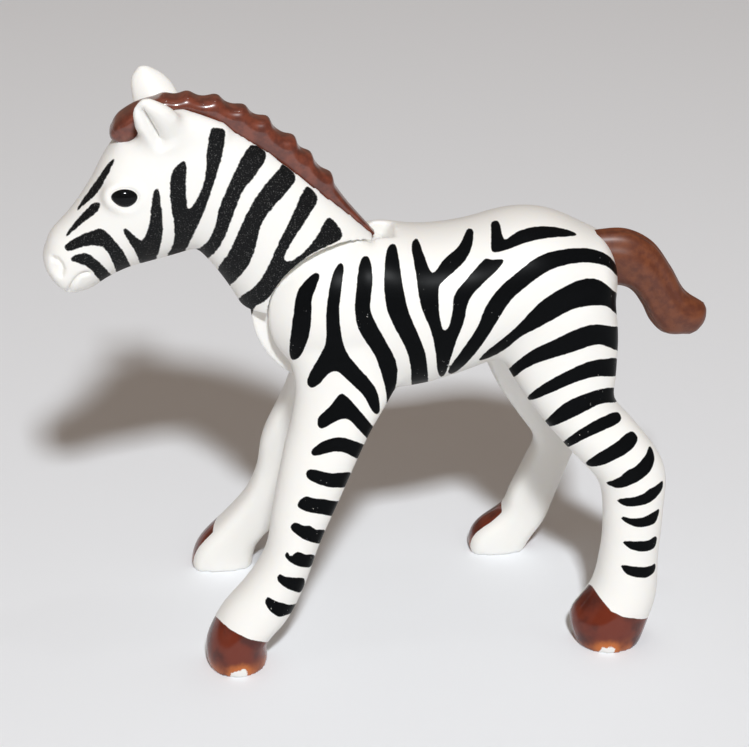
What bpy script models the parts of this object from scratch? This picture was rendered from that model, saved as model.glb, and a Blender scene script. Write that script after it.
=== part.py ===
"""A toy zebra foal that stands on four hooves and lowers its neck.

Four moulded pieces: the body with its legs, the head and neck that turn between
the shoulders, the brown mane let into the crest, and the brown tail plugged into
the rump. The foal faces -X, +Z is up and the floor is z = 0. Sizes are in
millimetres until METRE turns them into Blender's units.
"""

import math

import bmesh
import bpy
from mathutils import Vector

METRE = 0.001

# Driving dimensions
FIGURE_HEIGHT = 66.8
FIT_GAP = 0.3
TONGUE_THICKNESS = 3.6
TRUNNION_RADIUS = 2.0
TRUNNION_REACH = 1.9
TRUNNION_PLAY = 0.1
MANE_THICKNESS = 3.3
MANE_DEPTH = 1.3
TAIL_PLUG = 2.4

# The forms below are drawn on a foal of this height and scaled to FIGURE_HEIGHT
DRAWN_HEIGHT = 66.8
SCALE = FIGURE_HEIGHT / DRAWN_HEIGHT
CENTRE_SHIFT = -0.85
PIVOT = Vector((-3.8, 0.0, 40.1))
SHOULDER_RADIUS = 8.2
SHOULDER_HALF_WIDTH = 8.0
TONGUE_RADIUS = SHOULDER_RADIUS - 0.1
THROAT_RADIUS = SHOULDER_RADIUS + 1.85
WITHERS_RADIUS = SHOULDER_RADIUS + 3.4
CLEARED_RADIUS = SHOULDER_RADIUS + 7.8
CLEARED_HALF_WIDTH = SHOULDER_HALF_WIDTH + 1.5

# Angles about the pivot, in degrees up from +X: where the neck ends at the crest and at
# the throat, how far the tongue shows below it, and how far the neck tilts down
CREST_END = 66
THROAT_END = 178
TONGUE_END = 250
NECK_TILT = 48

# A leg's side that faces the other leg: how square it is, and its share of the half width
INNER_SQUARENESS = 4.0
INNER_SHARE = 0.72

SKIN_VOXEL = 0.45
ROUND_SIDES = 64


def placed(x, y, z):
    """A drawn point, in metres, with the figure's box centred over the origin."""
    return Vector((x + CENTRE_SHIFT, y, z)) * SCALE * METRE


def drawn(size):
    """A real size in millimetres, as it is at the drawn height."""
    return size / SCALE


def catmull(a, b, c, d, t):
    """The smooth curve through b and c, at share t of the way between them."""
    return 0.5 * (
        2 * b + (c - a) * t + (2 * a - 5 * b + 4 * c - d) * t**2 + (3 * b - a - 3 * c + d) * t**3
    )


def smooth_rows(rows, steps):
    """Rows of numbers with steps rows for each span, along a smooth curve."""
    padded = [rows[0]] + list(rows) + [rows[-1]]
    made = []
    for i in range(1, len(padded) - 2):
        for k in range(steps):
            spans = zip(*padded[i - 1 : i + 3])
            made.append([catmull(a, b, c, d, k / steps) for a, b, c, d in spans])
    made.append(list(rows[-1]))
    return made


def bridge_rings(mesh, rings):
    """Closes a row of rings of points into one skin."""
    rings = [[mesh.verts.new(placed(*point)) for point in ring] for ring in rings]
    count = len(rings[0])
    for low, high in zip(rings, rings[1:]):
        for k in range(count):
            n = (k + 1) % count
            mesh.faces.new((low[k], low[n], high[n], high[k]))
    mesh.faces.new(rings[0][::-1])
    mesh.faces.new(rings[-1])


def add_loft(mesh, ribs, sides=20, steps=4, domes=(0.0, 0.0), squareness=2.0, grow=0.0, inner=None):
    """A closed skin over ribs. A rib is (front x, front z, back x, back z, y, half width).

    domes are the lengths by which each end swells out into a rounded cap. grow is an
    allowance all around, and at the first end. inner, for a leg, is the squareness and
    the share of the half width of the side that faces the other leg.
    """
    rows = smooth_rows([[float(v) for v in rib] for rib in ribs], steps)
    frames = []
    for row in rows:
        front, back = Vector((row[0], 0, row[1])), Vector((row[2], 0, row[3]))
        centre = (front + back) / 2 + Vector((0, row[4], 0))
        reach = (front - back) / 2
        frames.append((centre, reach + reach.normalized() * grow, row[5] + grow))
    first_out = (frames[0][0] - frames[1][0]).normalized()
    last_out = (frames[-1][0] - frames[-2][0]).normalized()
    frames[0] = (frames[0][0] + first_out * grow, *frames[0][1:])
    turns = [math.radians(angle) for angle in (80, 62, 42, 21)]

    def cap(frame, outward, length):
        return [
            (frame[0] + outward * length * math.sin(a), frame[1] * math.cos(a), frame[2] * math.cos(a))
            for a in turns
        ]

    if domes[0] > 0:
        frames = cap(frames[0], first_out, domes[0]) + frames
    if domes[1] > 0:
        frames = frames + cap(frames[-1], last_out, domes[1])[::-1]
    rings = []
    for centre, reach, width in frames:
        ring = []
        for k in range(sides):
            angle = math.tau * k / sides
            c, s = math.cos(angle), math.sin(angle)
            faces_in = inner and s * centre.y < 0
            power, share = (2 / inner[0], inner[1]) if faces_in else (2 / squareness, 1)
            along = math.copysign(abs(c) ** power, c)
            across = math.copysign(abs(s) ** power, s) * share
            point = centre + reach * along + Vector((0, width * across, 0))
            ring.append(point)
        rings.append(ring)
    bridge_rings(mesh, rings)


def add_ball(mesh, centre, radii, tilt=0.0):
    """An ellipsoid, tilted in side view by an angle in degrees."""
    ball = bmesh.ops.create_uvsphere(mesh, u_segments=20, v_segments=14, radius=1.0)
    turn = math.radians(tilt)
    for vert in ball["verts"]:
        x, y, z = (vert.co[i] * radii[i] for i in range(3))
        vert.co = placed(
            centre[0] + x * math.cos(turn) - z * math.sin(turn),
            centre[1] + y,
            centre[2] + x * math.sin(turn) + z * math.cos(turn),
        )


def new_object(name, mesh, material=None):
    """An object from a bmesh, its normals facing out."""
    bmesh.ops.recalc_face_normals(mesh, faces=mesh.faces)
    data = bpy.data.meshes.new(name)
    mesh.to_mesh(data)
    mesh.free()
    obj = bpy.data.objects.new(name, data)
    bpy.context.scene.collection.objects.link(obj)
    if material:
        data.materials.append(material)
    return obj


def cutter(name, mesh):
    """A hidden tool shape for a Boolean."""
    obj = new_object(name, mesh)
    obj.hide_render = True
    obj.display_type = "WIRE"
    return obj


def skin_over(obj, smoothing, keep, symmetric):
    """Fuses the lofts of an object into one smooth skin of few triangles."""
    remesh = obj.modifiers.new("fuse", "REMESH")
    remesh.mode = "VOXEL"
    remesh.voxel_size = SKIN_VOXEL * SCALE * METRE
    remesh.use_smooth_shade = True
    smooth = obj.modifiers.new("soften", "SMOOTH")
    smooth.factor = 0.5
    smooth.iterations = smoothing
    thin = obj.modifiers.new("thin out", "DECIMATE")
    thin.ratio = keep
    thin.use_symmetry = symmetric
    thin.symmetry_axis = "Y"


def boolean(obj, tool, operation="DIFFERENCE"):
    """Cuts or joins a tool shape with the exact solver."""
    step = obj.modifiers.new(f"{operation.lower()} {tool.name}", "BOOLEAN")
    step.operation = operation
    step.solver = "EXACT"
    step.object = tool


def add_turned(mesh, half_width, arcs, inner=0.0):
    """A slab across the figure about the pivot, drawn by arcs of (start, end, radius).

    With inner above zero the slab is a piece of a ring.
    """
    outline = []
    for start, end, radius in arcs:
        count = max(2, round(ROUND_SIDES * (end - start) / 360.0))
        for k in range(count + 1):
            angle = math.radians(start + (end - start) * k / count)
            outline.append((radius * math.cos(angle), radius * math.sin(angle)))
    if inner > 0:
        start, end, radius = arcs[0]
        outline += [(x * inner / radius, z * inner / radius) for x, z in outline[::-1]]
    elif arcs[-1][1] - arcs[0][0] >= 360.0 and arcs[0][2] == arcs[-1][2]:
        outline.pop()
    near, far = [], []
    for x, z in outline:
        near.append(mesh.verts.new(placed(PIVOT.x + x, -half_width, PIVOT.z + z)))
        far.append(mesh.verts.new(placed(PIVOT.x + x, half_width, PIVOT.z + z)))
    mesh.faces.new(near)
    mesh.faces.new(far[::-1])
    for k in range(len(outline)):
        n = (k + 1) % len(outline)
        mesh.faces.new((near[k], far[k], far[n], near[n]))


def plastic(name, colour, roughness):
    """Moulded plastic of one colour."""
    material = bpy.data.materials.new(name)
    material.use_nodes = True
    shader = material.node_tree.nodes["Principled BSDF"]
    shader.inputs["Base Color"].default_value = (*colour, 1.0)
    shader.inputs["Roughness"].default_value = roughness
    shader.inputs["Metallic"].default_value = 0.0
    return material


# Ribs of the body: front x, front z, back x, back z, y, half width
TRUNK = [
    (-5.0, 47.2, -6.0, 31.6, 0, 6.4),
    (0.0, 48.4, -1.0, 29.6, 0, 7.9),
    (5.0, 47.8, 4.6, 30.0, 0, 8.3),
    (10.0, 48.3, 9.0, 31.2, 0, 8.2),
    (15.4, 49.5, 13.4, 32.8, 0, 8.2),
    (19.8, 49.1, 18.0, 33.6, 0, 8.0),
    (24.2, 47.0, 23.4, 34.6, 0, 6.7),
]
LEFT_FRONT_LEG = [
    (-10.2, 36.4, 3.0, 37.6, 3.9, 3.9),
    (-9.4, 32.0, 2.6, 33.4, 4.8, 3.8),
    (-9.9, 28.6, 0.9, 30.4, 6.0, 3.6),
    (-11.0, 25.0, -1.4, 26.8, 7.1, 3.3),
    (-12.5, 18.6, -4.9, 19.6, 8.7, 3.0),
    (-13.4, 14.0, -7.2, 14.7, 9.6, 2.9),
    (-15.7, 10.3, -9.0, 9.6, 10.1, 3.0),
    (-18.6, 6.9, -11.0, 5.6, 10.5, 3.3),
    (-20.4, 3.0, -13.4, 2.9, 10.7, 3.7),
    (-20.4, 0.4, -13.5, 0.2, 10.7, 3.7),
    (-20.0, -1.2, -13.8, -1.2, 10.7, 3.5),
]
RIGHT_FRONT_LEG = [
    (-10.2, 36.4, 3.0, 37.6, 3.9, 3.9),
    (-9.0, 32.0, 2.6, 33.4, 4.8, 3.8),
    (-9.1, 28.6, 0.9, 30.4, 6.0, 3.6),
    (-10.0, 25.0, -1.4, 26.8, 7.1, 3.3),
    (-12.4, 18.6, -4.9, 19.6, 8.7, 3.0),
    (-13.0, 14.0, -7.2, 14.7, 9.6, 2.9),
    (-14.3, 10.3, -9.0, 9.6, 10.1, 3.0),
    (-16.8, 6.9, -11.0, 5.6, 10.5, 3.3),
    (-20.3, 3.0, -13.2, 2.9, 10.7, 3.7),
    (-21.2, 0.4, -13.8, 0.2, 10.7, 3.7),
    (-20.9, -1.2, -14.0, -1.2, 10.7, 3.5),
]
LEFT_HIND_LEG = [
    (11.5, 38.5, 26.2, 42.0, 3.4, 4.8),
    (13.4, 34.6, 26.9, 36.6, 3.9, 4.7),
    (15.6, 30.6, 26.7, 32.0, 4.9, 4.4),
    (18.2, 27.0, 26.4, 28.9, 6.1, 3.9),
    (21.4, 23.2, 28.8, 26.2, 7.4, 3.3),
    (24.5, 19.6, 32.0, 21.4, 8.4, 3.1),
    (25.1, 15.2, 32.0, 16.2, 9.2, 2.95),
    (24.8, 10.8, 31.6, 10.6, 9.8, 2.95),
    (23.9, 6.9, 31.5, 5.8, 10.3, 3.25),
    (21.6, 3.4, 30.6, 2.6, 10.6, 3.7),
    (22.0, 0.4, 29.8, 0.2, 10.7, 3.7),
    (22.4, -1.2, 29.4, -1.2, 10.7, 3.5),
]
RIGHT_HIND_LEG = [
    (10.8, 38.5, 26.2, 42.0, 3.4, 4.8),
    (11.6, 34.0, 26.8, 36.2, 3.9, 4.7),
    (13.2, 29.6, 26.0, 31.2, 4.9, 4.4),
    (15.2, 25.0, 24.8, 26.6, 6.1, 3.9),
    (17.6, 20.8, 24.6, 22.2, 7.2, 3.3),
    (20.0, 16.4, 25.4, 17.0, 8.2, 3.1),
    (19.0, 12.4, 24.2, 12.0, 9.0, 2.95),
    (17.6, 8.6, 23.0, 7.6, 9.7, 2.95),
    (16.6, 5.4, 22.0, 4.2, 10.3, 3.25),
    (13.4, 2.6, 20.5, 1.8, 10.6, 3.7),
    (12.7, 0.4, 19.7, 0.2, 10.7, 3.7),
    (13.1, -1.2, 19.4, -1.2, 10.7, 3.5),
]

# Ribs of the head and neck
NECK = [
    (-12.2, 34.0, 4.4, 45.0, 0, 4.6),
    (-14.2, 38.6, 0.3, 47.8, 0, 5.0),
    (-15.6, 41.6, -3.1, 51.4, 0, 5.0),
    (-17.6, 44.9, -8.0, 56.4, 0, 4.8),
    (-19.6, 47.4, -12.3, 59.9, 0, 4.6),
    (-22.0, 50.0, -16.5, 62.6, 0, 4.4),
    (-24.5, 54.0, -20.6, 63.7, 0, 4.1),
]
HEAD = [
    (-17.6, 60.4, -17.0, 48.6, 0, 3.6),
    (-21.6, 63.4, -18.8, 47.7, 0, 4.6),
    (-26.0, 62.2, -21.6, 46.9, 0, 4.9),
    (-28.8, 59.0, -24.2, 46.3, 0, 4.8),
    (-30.6, 55.7, -26.9, 45.6, 0, 4.3),
    (-32.9, 52.4, -29.2, 44.5, 0, 3.7),
    (-35.2, 49.9, -31.0, 43.3, 0, 3.4),
    (-35.9, 48.2, -32.5, 42.9, 0, 3.2),
]
EAR = [
    (-24.8, 59.4, -19.2, 60.4, 2.7, 1.8),
    (-25.4, 61.4, -19.8, 62.2, 3.5, 1.8),
    (-25.8, 63.6, -20.8, 64.2, 4.3, 1.5),
    (-25.9, 65.2, -22.0, 65.6, 4.7, 1.15),
    (-25.2, 66.3, -23.4, 66.4, 4.9, 0.7),
]

# The hollow of the near ear: centre and radii
EAR_HOLLOW = (-25.2, 6.3, 62.7)
HOLLOW_RADII = (1.7, 1.6, 3.0)

# The mane's run along the crest: x, z, height above the skin, half thickness share
MANE_RUN = [
    (-0.1, 48.0, 0.1, 0.35),
    (-3.4, 51.3, 0.6, 0.7),
    (-6.4, 54.5, 1.25, 1.0),
    (-10.4, 58.2, 1.65, 1.0),
    (-14.4, 61.1, 1.75, 1.0),
    (-18.0, 63.0, 1.35, 1.0),
    (-21.4, 63.8, 0.95, 1.0),
    (-24.4, 63.4, 0.95, 1.15),
    (-26.2, 62.1, 1.15, 1.5),
    (-27.4, 60.6, 0.8, 1.3),
]
MANE_LOCKS = 15
LOCK_RISE = 0.5
LUMPED_RUN = 0.72
GROOVE_RUNOUT = 1.6
GROOVE_OPENING = 2.5

# Ribs of the tail: top x, top z, under x, under z, y, half width
TAIL = [
    (25.1, 46.9, 27.0, 40.1, 0, 2.1),
    (28.3, 46.8, 28.9, 39.5, 0, 2.3),
    (31.3, 45.1, 30.3, 37.6, 0, 2.3),
    (33.5, 42.0, 31.4, 35.4, 0, 2.2),
    (35.2, 39.0, 33.0, 33.8, 0, 2.2),
    (37.1, 37.5, 35.2, 33.6, 0, 1.9),
]


def mirrored(ribs):
    """The same ribs on the near side of the figure."""
    return [(*rib[:4], -rib[4], rib[5]) for rib in ribs]


def turned_slab(name, half_width, arcs, inner=0.0):
    mesh = bmesh.new()
    add_turned(mesh, half_width, arcs, inner)
    return cutter(name, mesh)


def tail_ribs():
    """The tail's ribs with the plug's rib first, TAIL_PLUG into the rump and a little thinner."""
    top, under = Vector((TAIL[0][0], 0, TAIL[0][1])), Vector((TAIL[0][2], 0, TAIL[0][3]))
    across = (top - under).normalized()
    inward = Vector((-across.z, 0, across.x)) * drawn(TAIL_PLUG)
    top, under = top * 0.95 + under * 0.05 + inward, under * 0.95 + top * 0.05 + inward
    return [(top.x, top.z, under.x, under.z, 0, TAIL[0][5] * 0.9)] + TAIL


def floor_block():
    """Everything below the floor, which cuts the soles flat."""
    mesh = bmesh.new()
    bmesh.ops.create_cube(mesh, size=1.0)
    for vert in mesh.verts:
        vert.co = placed(vert.co.x * 90, vert.co.y * 60, (vert.co.z - 0.5) * 8)
    return cutter("below the floor", mesh)


def make_body(material):
    """Trunk, shoulders and legs in one moulding, slotted for the neck."""
    mesh = bmesh.new()
    add_loft(mesh, TRUNK, sides=28, domes=(3.0, 3.4), squareness=2.15)
    add_ball(mesh, PIVOT, (SHOULDER_RADIUS + 1.6, SHOULDER_HALF_WIDTH, SHOULDER_RADIUS + 0.3))
    left_legs = [mirrored(ribs) for ribs in (LEFT_FRONT_LEG, LEFT_HIND_LEG)]
    for ribs in left_legs + [RIGHT_FRONT_LEG, RIGHT_HIND_LEG]:
        add_loft(mesh, ribs, sides=20, inner=(INNER_SQUARENESS, INNER_SHARE))
    body = new_object("body", mesh, material)
    skin_over(body, smoothing=14, keep=0.047, symmetric=False)

    gap = drawn(FIT_GAP)
    slot_half = drawn(TONGUE_THICKNESS / 2) + gap
    socket_radius = drawn(TRUNNION_RADIUS + TRUNNION_PLAY)
    swept_end = THROAT_END + NECK_TILT + 1
    slot_end = TONGUE_END + NECK_TILT + 7
    slot = [
        (slot_end - 360, CREST_END - 12, TONGUE_RADIUS + gap),
        (CREST_END - 12, 100, WITHERS_RADIUS),
        (100, slot_end, THROAT_RADIUS + gap),
    ]
    sweep = [(CREST_END, swept_end, CLEARED_RADIUS)]
    socket_half = slot_half + drawn(TRUNNION_REACH)
    cuts = [
        turned_slab("neck slot", slot_half, slot),
        turned_slab("neck sweep", CLEARED_HALF_WIDTH, sweep, inner=SHOULDER_RADIUS),
        turned_slab("trunnion sockets", socket_half, [(0, 360, socket_radius)]),
        floor_block(),
    ]
    socket = bmesh.new()
    add_loft(socket, tail_ribs(), sides=14, grow=gap)
    cuts.append(cutter("tail socket", socket))
    for tool in cuts:
        boolean(body, tool)
    return body


def mane_rows():
    """Rows along the mane: place, outward normal, height, share of the thickness, share of the run."""
    rows = smooth_rows(MANE_RUN, 8)
    places = [Vector((row[0], 0, row[1])) for row in rows]
    made = []
    for i, row in enumerate(rows):
        ahead, behind = places[min(i + 1, len(rows) - 1)], places[max(i - 1, 0)]
        along = (ahead - behind).normalized()
        outward = Vector((along.z, 0, -along.x))
        made.append((places[i], outward, row[2], row[3], i / (len(rows) - 1)))
    return made


def mane_profile(height, share, run):
    """Half the mane's cross-section at one row, as (across, up), with its row of soft lumps."""
    lumps = abs(math.sin(math.pi * MANE_LOCKS * run)) - 0.5
    fade = math.sin(math.pi * run / LUMPED_RUN) if run < LUMPED_RUN else 0.0
    top = height + LOCK_RISE * fade * lumps
    half = drawn(MANE_THICKNESS / 2) * share + 0.12 * fade * lumps
    base = -drawn(MANE_DEPTH)
    steps = [(1.0, 0.2), (0.92, 0.55), (0.62, 0.88)]
    return [(half, base)] + [(half * across, top * up) for across, up in steps] + [(0.0, top)]


def add_mane(mesh):
    rings = []
    for place, outward, height, share, run in mane_rows():
        half_profile = mane_profile(height, share, run)
        profile = [(-across, up) for across, up in half_profile[:-1]] + half_profile[::-1]
        rings.append([place + outward * up + Vector((0, across, 0)) for across, up in profile])
    bridge_rings(mesh, rings)


def add_mane_groove(mesh):
    """The groove for the mane, with FIT_GAP all around, run out past the withers."""
    gap = drawn(FIT_GAP)
    rows = mane_rows()
    tip, brow = rows[0], rows[-1]
    past_tip = (tip[0] - (rows[1][0] - tip[0]).normalized() * GROOVE_RUNOUT, *tip[1:])
    past_brow = (brow[0] + (brow[0] - rows[-2][0]).normalized() * gap, *brow[1:])
    rings = []
    for place, outward, height, share, _ in [past_tip] + rows + [past_brow]:
        half = drawn(MANE_THICKNESS / 2) * share + gap
        low, high = -drawn(MANE_DEPTH) - gap, height + GROOVE_OPENING
        profile = [(-half, low), (-half, high), (half, high), (half, low)]
        rings.append([place + outward * up + Vector((0, across, 0)) for across, up in profile])
    bridge_rings(mesh, rings)


def make_mane(material):
    mesh = bmesh.new()
    add_mane(mesh)
    mane = new_object("mane", mesh, material)
    mane.data.shade_smooth()
    return mane


def make_head_and_neck(material):
    """The head, ears and neck in one moulding, with the tongue that turns in the body."""
    mesh = bmesh.new()
    add_loft(mesh, NECK, sides=24, squareness=2.1)
    add_loft(mesh, HEAD, sides=24, domes=(0, 1.6), squareness=2.1)
    for side in (-1, 1):
        ribs = [(*rib[:4], rib[4] * side, rib[5]) for rib in EAR]
        add_loft(mesh, ribs, sides=14, domes=(0, 0.5))
        add_ball(mesh, (-27.1, side * 3.5, 55.3), (2.5, 1.5, 2.0), tilt=10)
    head = new_object("head_and_neck", mesh, material)
    skin_over(head, smoothing=8, keep=0.065, symmetric=True)

    gap = drawn(FIT_GAP)
    tongue_half = drawn(TONGUE_THICKNESS / 2)
    neck_end = [
        (CREST_END - 6, THROAT_END, SHOULDER_RADIUS + gap),
        (THROAT_END, CREST_END + 354, CLEARED_RADIUS),
    ]
    boolean(head, turned_slab("neck end", CLEARED_HALF_WIDTH, neck_end))
    tongue = [(TONGUE_END - 360, 90, TONGUE_RADIUS), (90, TONGUE_END, THROAT_RADIUS)]
    boolean(head, turned_slab("tongue", tongue_half, tongue), "UNION")
    trunnion_half = tongue_half + drawn(TRUNNION_REACH)
    trunnions = [(0, 360, drawn(TRUNNION_RADIUS))]
    boolean(head, turned_slab("trunnions", trunnion_half, trunnions), "UNION")
    hollows = bmesh.new()
    for side in (-1, 1):
        centre = (EAR_HOLLOW[0], EAR_HOLLOW[1] * side, EAR_HOLLOW[2])
        add_ball(hollows, centre, HOLLOW_RADII)
    boolean(head, cutter("ear hollows", hollows))
    groove = bmesh.new()
    add_mane_groove(groove)
    boolean(head, cutter("mane groove", groove))
    return head


def make_tail(material):
    mesh = bmesh.new()
    add_loft(mesh, tail_ribs(), sides=12, steps=3, domes=(0, 1.5))
    tail = new_object("tail", mesh, material)
    tail.data.shade_smooth()
    return tail


def main():
    for obj in list(bpy.data.objects):
        bpy.data.objects.remove(obj)
    white = plastic("white plastic", (0.86, 0.85, 0.81), 0.32)
    brown = plastic("brown plastic", (0.16, 0.045, 0.022), 0.34)
    make_body(white)
    make_head_and_neck(white)
    make_mane(brown)
    make_tail(brown)


main()
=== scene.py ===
# %% [markdown]
# # A toy zebra foal
# A small moulded plastic foal, about 74 mm long. The trunk and legs are one white
# moulding, the head and neck another that tilts between the shoulders. A brown mane
# is let into the crest, and a brown tail is plugged into the rump. The stripes and
# hooves are printed on from the sides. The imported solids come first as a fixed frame:
# every piece made below takes the place of one of them and keeps its size.

import math

import bmesh
import bpy
import numpy as np
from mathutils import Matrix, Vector
from mathutils.bvhtree import BVHTree


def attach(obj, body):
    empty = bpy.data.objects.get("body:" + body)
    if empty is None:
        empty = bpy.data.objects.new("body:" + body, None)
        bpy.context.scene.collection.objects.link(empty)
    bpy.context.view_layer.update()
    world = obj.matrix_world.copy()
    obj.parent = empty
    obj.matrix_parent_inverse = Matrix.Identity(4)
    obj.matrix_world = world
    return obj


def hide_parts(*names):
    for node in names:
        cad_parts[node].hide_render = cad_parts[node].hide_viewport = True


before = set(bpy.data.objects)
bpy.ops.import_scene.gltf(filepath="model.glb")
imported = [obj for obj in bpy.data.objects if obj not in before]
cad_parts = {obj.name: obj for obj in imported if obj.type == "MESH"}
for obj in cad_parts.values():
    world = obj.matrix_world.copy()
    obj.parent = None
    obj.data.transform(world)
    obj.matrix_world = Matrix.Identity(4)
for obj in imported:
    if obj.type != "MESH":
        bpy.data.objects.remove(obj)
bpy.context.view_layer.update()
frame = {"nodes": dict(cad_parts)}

# %% [markdown]
# ## Where things are
# The forms below are drawn in millimetres on the foal's middle plane, the way a toy's
# patterns are drawn: x runs from nose to tail, z up from the floor, y to its right side.
# One helper turns such a point into metres in the frame of the solids, so that every
# piece meets its neighbours without any fitting.

# %% From the drawing to the frame
MM = 0.001
CENTRE_SHIFT = -0.85
PIVOT = Vector((-3.8, 0.0, 40.1))
SHOULDER_RADIUS = 8.2


def placed(x, y, z):
    """A drawn point in metres, in the frame of the solids."""
    return Vector((x + CENTRE_SHIFT, y, z)) * MM


def drawn_points(mesh):
    """The places of a mesh's points as rows of drawn x, y, z."""
    places = np.empty(len(mesh.vertices) * 3)
    mesh.vertices.foreach_get("co", places)
    return places.reshape(-1, 3) / MM - (CENTRE_SHIFT, 0.0, 0.0)


print("the neck turns about", tuple(round(v * 1000, 2) for v in placed(*PIVOT)), "mm")

# %% [markdown]
# ## The camera
# The photo looks at the foal's left side from a little towards the head and from above.
# The distances between the four hooves gave both angles. A long lens from about 28 cm
# keeps the far legs nearly as large as the near ones.

# %% Camera at the photo's viewing angle
PHOTO_WIDTH, PHOTO_HEIGHT = 749, 747
VIEW_AZIMUTH, VIEW_ELEVATION = math.radians(6.5), math.radians(28.0)
VIEW_DISTANCE = 280.0
PIXELS_PER_MM = 8.85
VIEW_TARGET = Vector((0.0, 0.0, 30.4))
SENSOR = 36.0

sight = Vector((
    math.sin(VIEW_AZIMUTH) * math.cos(VIEW_ELEVATION),
    math.cos(VIEW_AZIMUTH) * math.cos(VIEW_ELEVATION),
    -math.sin(VIEW_ELEVATION),
))
eye_point = VIEW_TARGET - sight * VIEW_DISTANCE
focal_pixels = PIXELS_PER_MM * VIEW_DISTANCE

camera = bpy.data.objects.new("camera", bpy.data.cameras.new("camera"))
camera.data.sensor_width = SENSOR
camera.data.lens = SENSOR * focal_pixels / PHOTO_WIDTH
camera.data.clip_start = 0.005
camera.location = placed(*eye_point)
camera.rotation_euler = sight.to_track_quat("-Z", "Y").to_euler()
bpy.context.scene.collection.objects.link(camera)
bpy.context.scene.camera = camera
print("lens", round(camera.data.lens, 1), "mm")

# %% [markdown]
# ## Floor and light
# The toy stands on a plain pale sheet. In the photo the strongest light comes from the
# camera's side and a little from the right, because the shadow falls behind the foal and
# to its left, and it is a small bright source, because the glossy print shows small hard
# highlights. Three dim panels and a pale surround fill in the rest.

# %% Floor
floor_mesh = bmesh.new()
bmesh.ops.create_grid(floor_mesh, x_segments=2, y_segments=2, size=1.5)
floor_data = bpy.data.meshes.new("floor")
floor_mesh.to_mesh(floor_data)
floor_mesh.free()
floor = bpy.data.objects.new("floor", floor_data)
bpy.context.scene.collection.objects.link(floor)

floor_paper = bpy.data.materials.new("pale paper")
floor_paper.use_nodes = True
floor_shader = floor_paper.node_tree.nodes["Principled BSDF"]
floor_shader.inputs["Base Color"].default_value = (0.83, 0.85, 0.875, 1.0)
floor_shader.inputs["Roughness"].default_value = 0.9
floor_data.materials.append(floor_paper)
print("the floor is", floor_paper.name)

# %% Lights and surround
LIT_POINT = (0, 0, 30)


def add_panel(name, place, size, watts, tint=(1.0, 1.0, 1.0)):
    """A square light panel at a drawn point, facing the middle of the trunk."""
    panel = bpy.data.objects.new(name, bpy.data.lights.new(name, "AREA"))
    panel.data.size = size * MM
    panel.data.energy = watts
    panel.data.color = tint
    panel.location = placed(*place)
    direction = placed(*LIT_POINT) - placed(*place)
    panel.rotation_euler = direction.to_track_quat("-Z", "Y").to_euler()
    bpy.context.scene.collection.objects.link(panel)


add_panel("key light", (8, -557, 634), size=70, watts=6.5, tint=(0.94, 0.97, 1.0))
add_panel("soft top light", (-60, 60, 420), size=320, watts=0.05)
add_panel("small top light", (60, 10, 520), size=22, watts=0.05)
add_panel("soft side light", (-360, -160, 160), size=260, watts=0.04)

surround = bpy.data.worlds.new("pale surround")
surround.use_nodes = True
surround.node_tree.nodes["Background"].inputs["Color"].default_value = (1.0, 0.77, 0.60, 1.0)
surround.node_tree.nodes["Background"].inputs["Strength"].default_value = 0.2
bpy.context.scene.world = surround
bpy.context.scene.view_settings.view_transform = "Standard"
print("four panels and a surround light the foal")

# %% [markdown]
# ## Rounded forms from ribs
# A toy foal is all smooth swellings, with no flat face but the soles. One way is to pull
# points about by hand. Here each form is drawn as a row of ribs, as a boat is: a rib gives
# the front and back edge in side view and the half width, and a smooth curve through the
# ribs gives the skin between them. That keeps every outline measurable against the photo.

# %% Curves, rings and rounded ends
ROUNDING = [math.radians(angle) for angle in (80, 62, 42, 21)]


def catmull(a, b, c, d, t):
    """The smooth curve through b and c, at share t of the way between them."""
    return 0.5 * (
        2 * b + (c - a) * t + (2 * a - 5 * b + 4 * c - d) * t**2 + (3 * b - a - 3 * c + d) * t**3
    )


def smooth_rows(rows, steps):
    """Rows of numbers with steps rows for each span, along a smooth curve."""
    padded = [rows[0]] + list(rows) + [rows[-1]]
    made = []
    for i in range(1, len(padded) - 2):
        for k in range(steps):
            spans = zip(*padded[i - 1 : i + 3])
            made.append([catmull(a, b, c, d, k / steps) for a, b, c, d in spans])
    made.append(list(rows[-1]))
    return made


def bridge_rings(mesh, rings):
    """Closes a row of rings of drawn points into one skin."""
    rings = [[mesh.verts.new(placed(*point)) for point in ring] for ring in rings]
    count = len(rings[0])
    for low, high in zip(rings, rings[1:]):
        for k in range(count):
            n = (k + 1) % count
            mesh.faces.new((low[k], low[n], high[n], high[k]))
    mesh.faces.new(rings[0][::-1])
    mesh.faces.new(rings[-1])


def rib_frames(ribs, steps):
    """Centre, reach from back to front, and half width, at every row along the ribs."""
    frames = []
    for row in smooth_rows([[float(v) for v in rib] for rib in ribs], steps):
        front, back = Vector((row[0], 0, row[1])), Vector((row[2], 0, row[3]))
        frames.append(((front + back) / 2 + Vector((0, row[4], 0)), (front - back) / 2, row[5]))
    return frames


def dome(frame, outward, length):
    """Rows that round off an end, from its tip back to the end's own row."""
    return [
        (frame[0] + outward * length * math.sin(a), frame[1] * math.cos(a), frame[2] * math.cos(a))
        for a in ROUNDING
    ]


print("a rounded end takes", len(ROUNDING), "more rows")


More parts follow.
